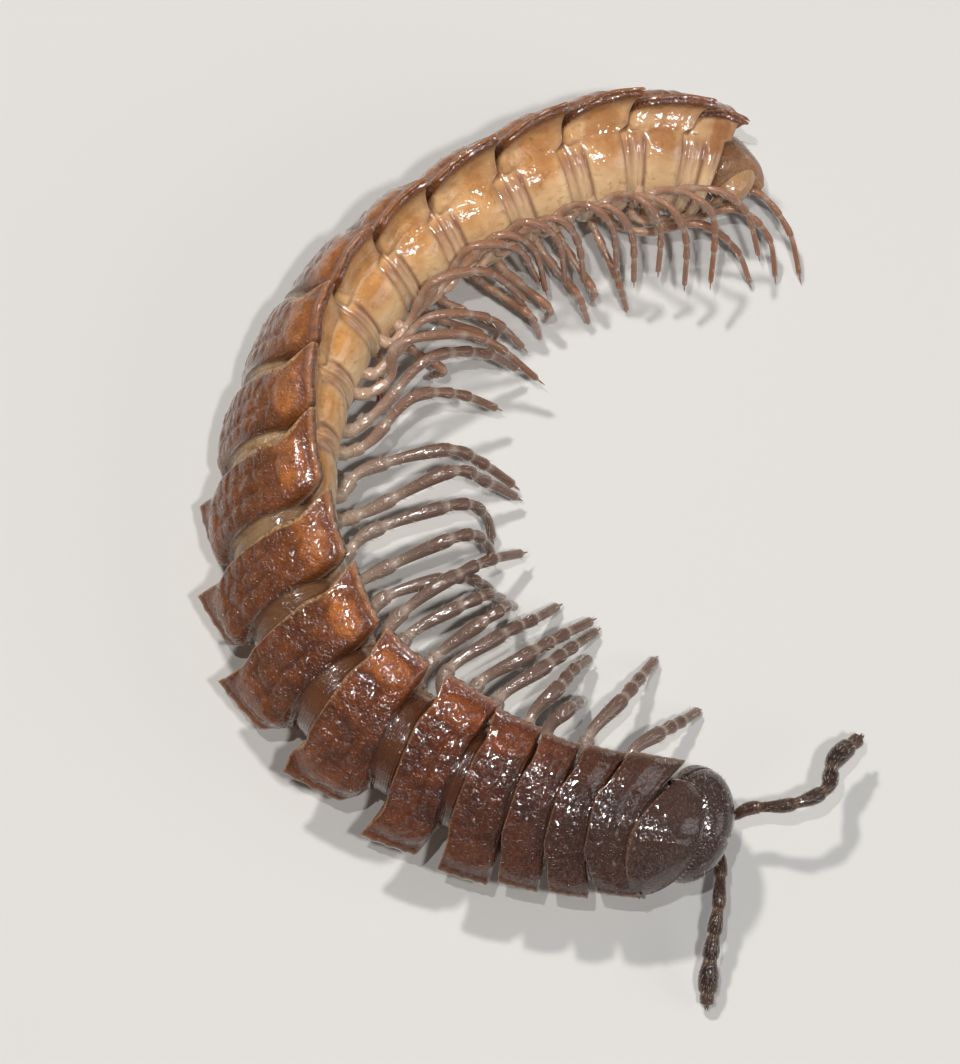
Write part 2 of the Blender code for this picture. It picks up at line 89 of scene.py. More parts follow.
def catmull_rom(points: Rows | Array, samples: int) -> Array:
    """Sample a smooth curve that passes through the rows of points.

    Args:
        points: Rows of coordinates, of any width.
        samples: How many rows come back.

    Returns:
        The sampled rows.
    """
    pts = np.array(points, float)
    padded = np.vstack([2 * pts[0] - pts[1], pts, 2 * pts[-1] - pts[-2]])
    spans = len(pts) - 1
    t = np.linspace(0.0, spans, samples)
    k = np.minimum(t.astype(int), spans - 1)
    x = (t - k)[:, None]
    a, b, c, d = (padded[k + i] for i in range(4))
    return 0.5 * (2 * b + (c - a) * x + (2 * a - 5 * b + 4 * c - d) * x ** 2
                  + (3 * b - a - 3 * c + d) * x ** 3)


@dataclass(frozen=True)
class BodyPlan:
    """The body's middle line and its rings, in mm and degrees.

    A path row is x, y, height, roll, yaw. Roll 90 lies on the right side with the back outwards.
    """

    path: Rows = (
        (3.90, -6.42, 2.18, 16.0, 0.0), (2.63, -6.24, 2.20, 18.0, 0.0),
        (0.33, -5.75, 2.22, 22.0, 0.0), (-1.83, -4.80, 2.22, 26.0, 4.0),
        (-3.82, -3.36, 2.20, 29.0, 8.0), (-4.90, -0.83, 2.12, 36.0, 15.0),
        (-5.03, 1.76, 2.00, 54.0, 18.0), (-4.34, 4.08, 1.88, 72.0, 8.0),
        (-2.85, 5.87, 1.82, 82.0, 0.0), (-0.33, 7.36, 1.87, 91.0, 0.0),
        (1.65, 8.12, 1.80, 94.0, 0.0), (2.93, 8.18, 1.67, 95.0, 0.0),
        (4.00, 7.98, 1.48, 96.0, 0.0), (4.85, 7.45, 1.32, 96.0, 0.0),
        (5.35, 6.65, 1.20, 96.0, 0.0))
    centre: tuple[float, float] = (-0.08, -0.13)
    head_run: float = 0.55
    samples: int = 900
    parts_of_length: float = 20.0
    gap: float = 0.2
    ring_length: tuple[float, ...] = (1.24, 0.84, 0.76, 0.80, 1.14, 1.36, 1.62, 1.72, 1.68, 1.65,
                                      1.55, 1.60, 1.60, 1.45, 1.55, 1.38, 1.30, 1.20, 0.80)
    half_width: tuple[float, ...] = (1.22, 1.40, 1.42, 1.48, 1.64, 1.78, 1.86, 1.90, 1.92, 1.92,
                                     1.92, 1.92, 1.90, 1.90, 1.88, 1.86, 1.80, 1.64, 1.32)
    last_ring: int = 19
    last_legged: int = 18
    first_double: int = 5
    trunk_half_width: float = 1.18
    trunk_top: float = 0.92
    trunk_bottom: float = -1.22
    prozonite_scale: float = 0.93
    edge_height: float = 0.46
    edge_thickness: float = 0.14
    root_depth: float = 0.52
    hind_length: float = 1.18
    hind_share: float = 0.80
    sweep: Rows = ((1, -0.40), (2, -0.30), (3, -0.25), (4, -0.12), (5, 0.0), (8, 0.12), (12, 0.14),
                   (14, 0.22), (16, 0.32), (18, 0.36), (19, 0.30))
    sweep_start: float = 0.45
    left_lead: Rows = ((1, 1.25), (2, 1.8), (3, 1.5), (5, 1.0))

    def start(self, number: int) -> float:
        """Distance along the body at which a ring's share of it begins."""
        return sum(self.ring_length[:number - 1])

    @property
    def length(self) -> float:
        """The length of all rings together."""
        return sum(self.ring_length)


@dataclass(frozen=True)
class Frames:
    """Middle points and unit vectors of the body at some distances along it."""

    middle: Array
    forward: Array
    left: Array
    dorsal: Array
    inward: Array


class BodyLine:
    """The bent and twisted middle line, measured from the front edge of the collum."""

    def __init__(self, plan: BodyPlan) -> None:
        """Sample the plan's path once.

        Args:
            plan: The body's plan.
        """
        self.plan = plan
        self.path = catmull_rom(plan.path, plan.samples)
        self.path[:, 0] -= plan.centre[0]
        self.path[:, 1] -= plan.centre[1]
        steps = np.linalg.norm(np.diff(self.path[:, :3], axis=0), axis=1)
        self.s = np.concatenate([[0.0], np.cumsum(steps)]) - plan.head_run
        self.tangent = np.gradient(self.path[:, :3], self.s, axis=0)

    def _at(self, table: Array, s: Array) -> Array:
        """Interpolate the columns of a table at distances s."""
        return np.stack([np.interp(s, self.s, table[:, k]) for k in range(table.shape[1])], -1)

    def frames(self, s: Array | float) -> Frames:
        """Give the body's frames.

        Args:
            s: Distances along the body.

        Returns:
            Middle points and unit vectors, one for each distance.
        """
        s = np.asarray(s, float)
        row = self._at(self.path, s)
        along = unit(-self._at(self.tangent, s))
        inward = unit(np.cross(UP, along))
        up = np.cross(along, inward)
        roll, yaw = np.radians(row[..., 3:4]), np.radians(row[..., 4:5])
        across = inward * np.cos(roll) + up * np.sin(roll)
        dorsal = up * np.cos(roll) - inward * np.sin(roll)
        left = across * np.cos(yaw) - along * np.sin(yaw)
        forward = along * np.cos(yaw) + across * np.sin(yaw)
        return Frames(row[..., :3], forward, left, dorsal, inward)

    def place(self, s: Array, v: Array, w: Array) -> Array:
        """Points at distances along the body, to the left and towards the back."""
        at = self.frames(s)
        return at.middle + at.left * np.asarray(v)[..., None] + at.dorsal * np.asarray(w)[..., None]


class Skin:
    """Points, faces and named point values that become one mesh."""

    def __init__(self) -> None:
        """Start empty."""
        self.points: list[Array] = []
        self.quads: list[Array] = []
        self.tris: list[Array] = []
        self.lies: list[Array] = []
        self.unwraps: list[Array] = []
        self.values: dict[str, list[Array]] = {}
        self.count = 0

    def add_rows(self, rows: Array, values: dict[str, Array | float]) -> None:
        """Add a closed tube of rows of points with both ends closed by fans.

        Args:
            rows: Points as rows x columns x 3; the columns wrap round.
            values: Named numbers, each one for all points or an array of rows x columns in which
                either may be 1. Where it has fewer rows than the points, its last row goes on.
        """
        n, m = rows.shape[:2]
        grid = np.arange(n * m).reshape(n, m) + self.count
        nxt = np.roll(grid, -1, axis=1)
        quads = np.stack([grid[:-1], nxt[:-1], nxt[1:], grid[1:]], -1).reshape(-1, 4)
        front, back = self.count + n * m, self.count + n * m + 1
        tris = np.concatenate([
            np.stack([nxt[0], grid[0], np.full(m, front)], -1),
            np.stack([grid[-1], nxt[-1], np.full(m, back)], -1)])
        points = np.concatenate([rows.reshape(-1, 3), rows[:1].mean(1), rows[-1:].mean(1)])
        if signed_volume(points - points.mean(0), quads - self.count, tris - self.count) < 0:
            quads, tris = quads[:, ::-1], tris[:, ::-1]
        self.points.append(points)
        self.quads.append(quads)
        self.tris.append(tris)
        lie = unit(np.gradient(rows, axis=0)).reshape(-1, 3)
        self.lies.append(np.concatenate([lie, lie[:1], lie[-1:]]))
        round_, along = np.meshgrid((np.arange(m) + 0.5) / m, (np.arange(n) + 0.5) / n)
        flat = np.stack([round_.ravel(), along.ravel(), np.zeros(n * m)], -1)
        self.unwraps.append(np.concatenate([flat, [[0.5, 0.0, 0.0], [0.5, 1.0, 0.0]]]))
        for name, value in values.items():
            full = np.atleast_2d(np.asarray(value, float))
            if 1 < len(full) < n:
                full = np.concatenate([full, np.repeat(full[-1:], n - len(full), axis=0)])
            full = np.broadcast_to(full, (n, m))
            ends = np.array([full[0].mean(), full[-1].mean()])
            self.values.setdefault(name, []).append(np.concatenate([full.ravel(), ends]))
        self.count += len(points)

    def build(self, name: str) -> bpy.types.Object:
        """Make the object, smooth shaded, with the values as point attributes.

        Args:
            name: The name of the object and its mesh.

        Returns:
            The object, linked to the scene.
        """
        points = np.concatenate(self.points) * MM
        quads, tris = np.concatenate(self.quads), np.concatenate(self.tris)
        mesh = bpy.data.meshes.new(name)
        mesh.vertices.add(len(points))
        mesh.vertices.foreach_set("co", points.astype(np.float32).ravel())
        corners = np.concatenate([quads.ravel(), tris.ravel()])
        mesh.loops.add(len(corners))
        mesh.loops.foreach_set("vertex_index", corners.astype(np.int32))
        starts = np.concatenate([np.arange(len(quads)) * 4,
                                 len(quads) * 4 + np.arange(len(tris)) * 3])
        mesh.polygons.add(len(starts))
        mesh.polygons.foreach_set("loop_start", starts.astype(np.int32))
        mesh.update()
        mesh.validate()
        mesh.shade_smooth()
        for key, parts in self.values.items():
            layer = mesh.attributes.new(key, "FLOAT", "POINT")
            layer.data.foreach_set("value", np.concatenate(parts).astype(np.float32))
        obj = bpy.data.objects.new(name, mesh)
        bpy.context.scene.collection.objects.link(obj)
        set_vectors(obj, "lie", np.concatenate(self.lies))
        parts = len(self.unwraps)
        strips = [(flat + (k, 0, 0)) / (parts, 1, 1) for k, flat in enumerate(self.unwraps)]
        set_vectors(obj, "unwrap", np.concatenate(strips))
        return obj


def signed_volume(points: Array, quads: Array, tris: Array) -> float:
    """Measure a closed mesh.

    Args:
        points: Its points.
        quads: The points of its four-sided faces.
        tris: The points of its triangles.

    Returns:
        The volume, negative where the faces point inwards.
    """
    split = np.concatenate([quads[:, [0, 1, 2]], quads[:, [0, 2, 3]], tris])
    a, b, c = (points[split[:, k]] for k in range(3))
    return float(np.einsum("ij,ij->i", a, np.cross(b, c)).sum() / 6.0)


class Sock:
    """A shader socket that takes part in Python sums, each adding its Math node."""

    def __init__(self, graph: Graph, socket: bpy.types.NodeSocket) -> None:
        """Wrap a socket of a graph."""
        self.graph = graph
        self.socket = socket

    def _math(self, kind: str, *parts: Sock | float) -> Sock:
        """One Math node on these parts."""
        return self.graph.node("ShaderNodeMath", {"operation": kind}, dict(enumerate(parts)))

    def __add__(self, other: Sock | float) -> Sock:
        """Sum."""
        return self._math("ADD", self, other)

    __radd__ = __add__

    def __sub__(self, other: Sock | float) -> Sock:
        """Difference."""
        return self._math("SUBTRACT", self, other)

    def __rsub__(self, other: Sock | float) -> Sock:
        """Difference from a number."""
        return self._math("SUBTRACT", other, self)

    def __mul__(self, other: Sock | float) -> Sock:
        """Product."""
        return self._math("MULTIPLY", self, other)

    __rmul__ = __mul__

    def clamp(self) -> Sock:
        """Keep the value between 0 and 1."""
        return self._math("MAXIMUM", self._math("MINIMUM", self, 1.0), 0.0)

    def step(self, low: float, high: float) -> Sock:
        """Ease from 0 at low to 1 at high."""
        return self.graph.node(
            "ShaderNodeMapRange", {"interpolation_type": "SMOOTHSTEP"},
            {"Value": self, "From Min": low, "From Max": high, "To Min": 0.0, "To Max": 1.0})


def add_node(tree: bpy.types.NodeTree, kind: str, settings: dict | None = None,
             inputs: dict | None = None) -> bpy.types.Node:
    """Add a node to a tree.

    Args:
        tree: The tree of a material or of a modifier.
        kind: The node's type.
        settings: Its properties.
        inputs: Values or sockets by the input's name or number.

    Returns:
        The node.
    """
    made = tree.nodes.new(kind)
    for key, value in (settings or {}).items():
        setattr(made, key, value)
    for key, value in (inputs or {}).items():
        value = value.socket if isinstance(value, Sock) else value
        if isinstance(value, bpy.types.NodeSocket):
            tree.links.new(value, made.inputs[key])
        else:
            made.inputs[key].default_value = value
    return made


class Graph:
    """The node tree of one material."""

    def __init__(self, name: str) -> None:
        """Start a material with no nodes.

        Args:
            name: The material's name.
        """
        self.material = bpy.data.materials.new(name)
        self.material.use_nodes = True
        self.tree = self.material.node_tree
        self.tree.nodes.clear()

    def node(self, kind: str, settings: dict | None = None, inputs: dict | None = None,
             output: str | int = 0) -> Sock:
        """Add a node and wrap one of its outputs."""
        return Sock(self, add_node(self.tree, kind, settings, inputs).outputs[output])

    def value(self, name: str) -> Sock:
        """A named value of the mesh."""
        return self.node("ShaderNodeAttribute", {"attribute_name": name}, output="Fac")

    def coords(self) -> Sock:
        """The object's own coordinates."""
        return self.node("ShaderNodeTexCoord", output="Object")

    def noise(self, size: float, detail: float = 4.0, rough: float = 0.55, warp: float = 0.0) -> Sock:
        """Noise whose blotches are about size mm across."""
        return self.node("ShaderNodeTexNoise", {}, {
            "Vector": self.coords(), "Scale": 1.0 / (size * MM), "Detail": detail,
            "Roughness": rough, "Distortion": warp}, "Fac")

    def grains(self, size: float) -> Sock:
        """Distance from the middle of grains of about size mm, 0 in the middle."""
        return self.node("ShaderNodeTexVoronoi", {"feature": "F1"},
                         {"Vector": self.coords(), "Scale": 1.0 / (size * MM)}, "Distance")

    def beads(self, size: float) -> Sock:
        """Round beads of about size mm, 1 in the middle and 0 between them."""
        away = self.grains(size) * 2.0
        return (1 - away * away).clamp()

    def mix(self, share: Sock | float, a: Sock | Colour, b: Sock | Colour) -> Sock:
        """Mix two colours."""
        a, b = (c if isinstance(c, Sock) else (*c, 1.0) for c in (a, b))
        return self.node("ShaderNodeMix", {"data_type": "RGBA"}, {0: share, 6: a, 7: b}, 2)

    def coats(self, colour: Sock, *coats: tuple[Sock, Sock | Colour]) -> Sock:
        """Lay coats over a colour, each a share and a colour.

        Args:
            colour: The colour below.
            coats: The coats in order.

        Returns:
            The colour that shows.
        """
        for share, coat in coats:
            colour = self.mix(share, colour, coat)
        return colour

    def ramp(self, value: Sock, stops: Rows) -> Sock:
        """A colour ramp on a value.

        Args:
            value: The value.
            stops: Each a place and a colour.

        Returns:
            The ramp's colour.
        """
        made = add_node(self.tree, "ShaderNodeValToRGB", {}, {"Fac": value})
        elements = made.color_ramp.elements
        while len(elements) > 1:
            elements.remove(elements[-1])
        for k, (place, colour) in enumerate(stops):
            stop = elements[0] if k == 0 else elements.new(place)
            stop.position = place
            stop.color = (*colour, 1.0)
        return Sock(self, made.outputs["Color"])

    def bump(self, height: Sock) -> Sock:
        """A normal bent by a height in mm."""
        return self.node("ShaderNodeBump", {}, {"Height": height, "Distance": MM}, "Normal")

    def surface(self, inputs: dict) -> bpy.types.Material:
        """Close the material with a Principled BSDF.

        Args:
            inputs: The shader's inputs by name.

        Returns:
            The material.
        """
        shader = self.node("ShaderNodeBsdfPrincipled", {}, inputs)
        add_node(self.tree, "ShaderNodeOutputMaterial", {}, {"Surface": shader})
        return self.material


@dataclass(frozen=True)
class ShellFinish:
    """Wet, granular brown shell that turns from chocolate in front to orange brown behind."""

    name: str = "wet_shell"
    dark: Rows = ((0.00, (0.058, 0.031, 0.023)), (0.10, (0.042, 0.018, 0.012)),
                  (0.20, (0.045, 0.015, 0.008)), (0.30, (0.058, 0.017, 0.007)),
                  (0.42, (0.085, 0.025, 0.008)), (0.55, (0.110, 0.034, 0.010)),
                  (1.00, (0.085, 0.030, 0.014)))
    warm: Rows = ((0.00, (0.078, 0.040, 0.028)), (0.10, (0.066, 0.026, 0.015)),
                  (0.20, (0.120, 0.029, 0.009)), (0.30, (0.175, 0.042, 0.010)),
                  (0.42, (0.205, 0.060, 0.014)), (0.60, (0.240, 0.078, 0.018)),
                  (1.00, (0.200, 0.072, 0.025)))
    lobes: Rows = ((0.00, (0.070, 0.036, 0.026)), (0.15, (0.105, 0.030, 0.012)),
                   (0.26, (0.260, 0.066, 0.014)), (0.36, (0.440, 0.140, 0.030)),
                   (0.60, (0.480, 0.170, 0.040)), (1.00, (0.280, 0.095, 0.032)))
    flank: Rows = ((0.00, (0.075, 0.042, 0.028)), (0.20, (0.140, 0.065, 0.030)),
                   (0.40, (0.480, 0.230, 0.075)), (0.60, (0.600, 0.300, 0.100)),
                   (0.80, (0.560, 0.270, 0.100)), (1.00, (0.240, 0.110, 0.055)))
    cream: Colour = (0.800, 0.580, 0.330)
    plum: Colour = (0.160, 0.065, 0.050)
    folds: Rows = ((0.00, (0.160, 0.070, 0.050)), (0.22, (0.480, 0.280, 0.170)),
                   (0.38, (0.340, 0.180, 0.120)), (0.55, (0.600, 0.390, 0.240)),
                   (0.72, (0.380, 0.200, 0.130)), (0.86, (0.620, 0.400, 0.220)),
                   (1.00, (0.260, 0.110, 0.075)))
    collar: Rows = ((0.00, (0.060, 0.035, 0.026)), (0.25, (0.085, 0.030, 0.014)),
                    (0.36, (0.130, 0.050, 0.020)), (0.42, (0.200, 0.110, 0.052)),
                    (0.48, (0.420, 0.280, 0.150)), (1.00, (0.360, 0.220, 0.120)))
    margin: Rows = ((0.00, (0.180, 0.100, 0.060)), (0.30, (0.330, 0.160, 0.070)),
                    (0.45, (0.500, 0.320, 0.150)), (1.00, (0.340, 0.150, 0.065)))
    rim: Colour = (0.620, 0.430, 0.290)
    # Painted sheen: a grey-violet tint that stands in for reflections off the wet shell.
    painted_sheen: Colour = (0.120, 0.078, 0.080)
    speck: Colour = (0.022, 0.011, 0.008)
    # Painted shade for creases, nearly black.
    crease_shade: Colour = (0.020, 0.010, 0.007)
    bead_size: float = 0.10
    grain_size: float = 0.062
    lump_size: float = 0.085
    lines_in_folds: float = 70.0

    def build(self) -> bpy.types.Material:
        """Make the material.

        Returns:
            The material.
        """
        g = Graph(self.name)
        along, flank, collar = g.value("along"), g.value("flank"), g.value("collar")
        behind = along.step(0.08, 0.30)
        cloud, fine = g.noise(0.50, 5.0, 0.62, 0.4), g.noise(0.07, 4.0, 0.65)
        dark, warm = g.ramp(along, self.dark), g.ramp(along, self.warm)
        neck = g.mix(cloud.step(0.35, 0.65) * 0.5 + fine.step(0.4, 0.8) * 0.3,
                     g.ramp(along, self.collar), dark)
        colour = g.coats(
            g.mix(flank, self._back(g, behind, cloud, fine, dark, warm), self._flank(g, cloud, warm)),
            (collar * (1 - flank), neck),
            (g.value("margin") * fine.step(0.3, 0.6) * (0.70 - flank * 0.4), g.ramp(along, self.margin)),
            (g.value("rim") * (0.60 - along.step(0.40, 0.58) * 0.52), self.rim),
            # Painted shade in the crease at each plate's front and in the flank's neck groove, where it
            # turns plum.
            (g.value("crease_shade") * 0.7, g.mix(flank, self.crease_shade, self.plum)))
        return g.surface({"Base Color": colour, "Roughness": 0.05 + fine * 0.11,
                          "Normal": g.bump(self._height(g, behind)), "Coat Weight": 0.60,
                          "Coat Roughness": 0.03, "IOR": 1.5, "Subsurface Weight": 0.08,
                          "Subsurface Radius": (1.0, 0.4, 0.15), "Subsurface Scale": 0.18 * MM})

    def _back(self, g: Graph, behind: Sock, cloud: Sock, fine: Sock, dark: Sock, warm: Sock) -> Sock:
        """Colour of the back: clouded, warmer on the left through painted light, darker on the right
        through painted shade, speckled, with a painted grey sheen.

        Args:
            g: The material's nodes.
            behind: How far behind the front rings a point lies.
            cloud: Broad noise.
            fine: Fine noise.
            dark: The darker of the back's colours.
            warm: The warmer one.

        Returns:
            The colour.
        """
        across, lobe, lobes = g.value("across"), g.value("lobe"), g.ramp(g.value("along"), self.lobes)
        # Warmer towards both edges, which is the plates' own colour, and fullest on the left, which is
        # painted light.
        side = (across * across).step(0.06, 0.55) * (across.step(-0.2, 0.3) * 0.6 + 0.4)
        rear = g.value("share").step(0.0, 0.35)
        warmth = (cloud.step(0.34, 0.66) * 0.75 + side * 0.45 + rear * 0.1 - 0.12).clamp()
        # Painted light: the side ovals show fully on the left and at about a third on the right.
        painted_left_light = across.step(-0.1, 0.2) * 0.65 + 0.35
        return g.coats(
            g.mix(warmth, dark, warm),
            (lobe * g.noise(0.3, 4.0).step(0.28, 0.62) * painted_left_light * 0.9, lobes),
            (g.value("boss") * fine.step(0.4, 0.7) * 0.20, lobes),
            (g.noise(0.15, 5.0, 0.65).step(0.50, 0.66) * 0.62, dark),
            # Painted shade: darker from the middle out to the right edge, behind the front rings.
            ((0.30 - across).step(0.25, 0.85) * behind * 0.40, dark),
            # Painted sheen in fine patches.
            (g.noise(0.06, 3.0, 0.6).step(0.56, 0.72) * 0.40, self.painted_sheen),
            (g.grains(0.07).step(0.30, 0.55) * (1 - behind) * 0.35, self.speck),
            # Painted sheen in broad patches, off the side ovals.
            (g.noise(0.33, 5.0, 0.7).step(0.50, 0.72) * 0.20 * (1 - lobe), self.painted_sheen))

    def _flank(self, g: Graph, cloud: Sock, warm: Sock) -> Sock:
        """Colour of the flank and the belly, with the folded neck of each ring.

        Args:
            g: The material's nodes.
            cloud: Broad noise.
            warm: The warmer of the back's colours.

        Returns:
            The colour.
        """
        belly, fold, collar = g.value("belly"), g.value("fold"), g.value("collar")
        above, late = 1 - belly, fold - 1
        swell = (late * (1 - late) * 4).clamp().step(0.15, 0.85)
        folds = g.coats(g.ramp(fold + (cloud - 0.5) * 0.5, self.folds),
                        (belly * 0.5, self.cream), (above * above * 0.35, self.plum))
        return g.coats(
            g.ramp(g.value("along"), self.flank),
            ((g.noise(0.9, 4.0).step(0.42, 0.72) * 0.35 + belly * 0.65).clamp(), self.cream),
            ((1 - swell) * 0.28 * (1 - collar), self.cream),
            (above * cloud.step(0.35, 0.65) * 0.40, warm),
            (g.noise(0.28, 5.0, 0.6, 1.0).step(0.52, 0.75) * 0.5, warm),
            (collar * 0.75, folds),
            (g.value("share").step(0.90, 1.0) * 0.35, self.plum))

    def _height(self, g: Graph, behind: Sock) -> Sock:
        """Height in mm of the beads, the grains, the lumps and the neck's lines.

        Args:
            g: The material's nodes.
            behind: How far behind the front rings a point lies.

        Returns:
            The height.
        """
        flank, collar = g.value("flank"), g.value("collar")
        beads = g.beads(self.bead_size) * g.noise(0.25, 3.0).step(0.40, 0.58) * (behind * 0.010 + 0.008)
        grains = g.beads(self.grain_size) * (0.018 - behind * 0.007)
        lumps = g.noise(self.lump_size, 1.0) * 0.016
        height = (beads + grains + lumps) * (1 - flank * 0.85) * (1 - collar * 0.5)
        lines = g.node("ShaderNodeMath", {"operation": "SINE"}, {0: g.value("fold") * self.lines_in_folds})
        return (height + lines * collar * (1 - flank) * 0.004
                + g.noise(0.20, 2.0) * (behind * 0.010 + 0.007))


@dataclass(frozen=True)
class LegFinish:
    """Translucent greyish leg cuticle, paler at the joints and browner towards the claw."""

    name: str = "leg_cuticle"
    shaft: Rows = ((0.0, (0.36, 0.28, 0.20)), (0.22, (0.25, 0.18, 0.14)),
                   (0.45, (0.155, 0.100, 0.078)), (0.75, (0.125, 0.070, 0.050)),
                   (1.0, (0.16, 0.080, 0.045)))
    hind: Rows = ((0.0, (0.55, 0.36, 0.24)), (0.25, (0.40, 0.23, 0.15)),
                  (0.55, (0.30, 0.145, 0.085)), (1.0, (0.26, 0.110, 0.055)))
    joint: Colour = (0.42, 0.33, 0.26)
    mottle: Colour = (0.10, 0.055, 0.035)

    def build(self) -> bpy.types.Material:
        """Make the material.

        Returns:
            The material.
        """
        g = Graph(self.name)
        share, fine = g.value("share"), g.noise(0.06, 4.0, 0.6)
        colour = g.coats(g.ramp(share, self.shaft),
                         (g.value("along").step(0.45, 0.70), g.ramp(share, self.hind)),
                         (fine.step(0.45, 0.8) * 0.35, self.mottle),
                         (g.value("joint") * 0.6, self.joint))
        height = g.noise(0.10, 1.0) * 0.014 + g.beads(0.06) * 0.006
        return g.surface({"Base Color": colour, "Roughness": 0.08 + fine * 0.10,
                          "Normal": g.bump(height), "Coat Weight": 0.5, "Coat Roughness": 0.04,
                          "Subsurface Weight": 0.35, "Subsurface Radius": (1.0, 0.6, 0.4),
                          "Subsurface Scale": 0.15 * MM})


@dataclass(frozen=True)
class FeelerFinish:
    """Dark brown feeler cuticle, near black at the club."""

    name: str = "feeler_cuticle"
    shaft: Rows = ((0.0, (0.065, 0.034, 0.024)), (0.5, (0.045, 0.022, 0.015)),
                   (0.8, (0.026, 0.014, 0.011)), (1.0, (0.08, 0.045, 0.03)))

    joint: Colour = (0.22, 0.13, 0.08)

    def build(self) -> bpy.types.Material:
        """Make the material.

        Returns:
            The material.
        """
        g = Graph(self.name)
        fine = g.noise(0.05, 4.0, 0.6)
        colour = g.mix(g.value("joint") * 0.35, g.ramp(g.value("share"), self.shaft), self.joint)
        height = g.noise(0.08, 1.0) * 0.014 + g.beads(0.05) * 0.008
        return g.surface({"Base Color": colour, "Roughness": 0.10 + fine * 0.12,
                          "Normal": g.bump(height), "Coat Weight": 0.4, "Coat Roughness": 0.04})


@dataclass(frozen=True)
class HeadFinish:
    """Dark granular head capsule, redder on the mouthparts."""

    name: str = "head_capsule"
    crown: Colour = (0.040, 0.023, 0.019)
    mouth: Colour = (0.120, 0.055, 0.028)
    mottle: Colour = (0.10, 0.055, 0.042)
    # Painted shade for the groove down the middle of the crown.
    crease_shade: Colour = (0.015, 0.009, 0.007)

    def build(self) -> bpy.types.Material:
        """Make the material.

        Returns:
            The material.
        """
        g = Graph(self.name)
        fine = g.noise(0.06, 4.0, 0.65)
        colour = g.coats(g.mix(g.value("mouth"), self.crown, self.mouth),
                         (fine.step(0.4, 0.75) * 0.3, self.mottle),
                         (g.value("crease_shade") * 0.8, self.crease_shade))
        height = g.beads(0.07) * 0.016 + g.noise(0.09, 1.0) * 0.018 + g.noise(0.2, 2.0) * 0.008
        return g.surface({"Base Color": colour, "Roughness": 0.10 + fine * 0.12,
                          "Normal": g.bump(height), "Coat Weight": 0.5, "Coat Roughness": 0.03})


@dataclass(frozen=True)
class BristleFinish:
    """Clear to pale yellow bristles."""

    name: str = "bristle"
    pale: Colour = (0.62, 0.52, 0.42)
    dull: Colour = (0.35, 0.24, 0.17)

    def build(self) -> bpy.types.Material:
        """Make the material.

        Returns:
            The material.
        """
        g = Graph(self.name)
        colour = g.mix(g.noise(0.3, 2.0).step(0.35, 0.65), self.pale, self.dull)
        return g.surface({"Base Color": colour, "Roughness": 0.25, "Coat Weight": 0.4})


@dataclass(frozen=True)
class Finishes:
    """All the materials, each made once."""

    shell: bpy.types.Material
    leg: bpy.types.Material
    feeler: bpy.types.Material
    head: bpy.types.Material
    bristle: bpy.types.Material

    @classmethod
    def make(cls) -> Finishes:
        """Build every finish."""
        return cls(ShellFinish().build(), LegFinish().build(), FeelerFinish().build(),
                   HeadFinish().build(), BristleFinish().build())


class Root(Enum):
    """Where bristles grow."""

    POINTS = "points"
    SURFACE = "surface"


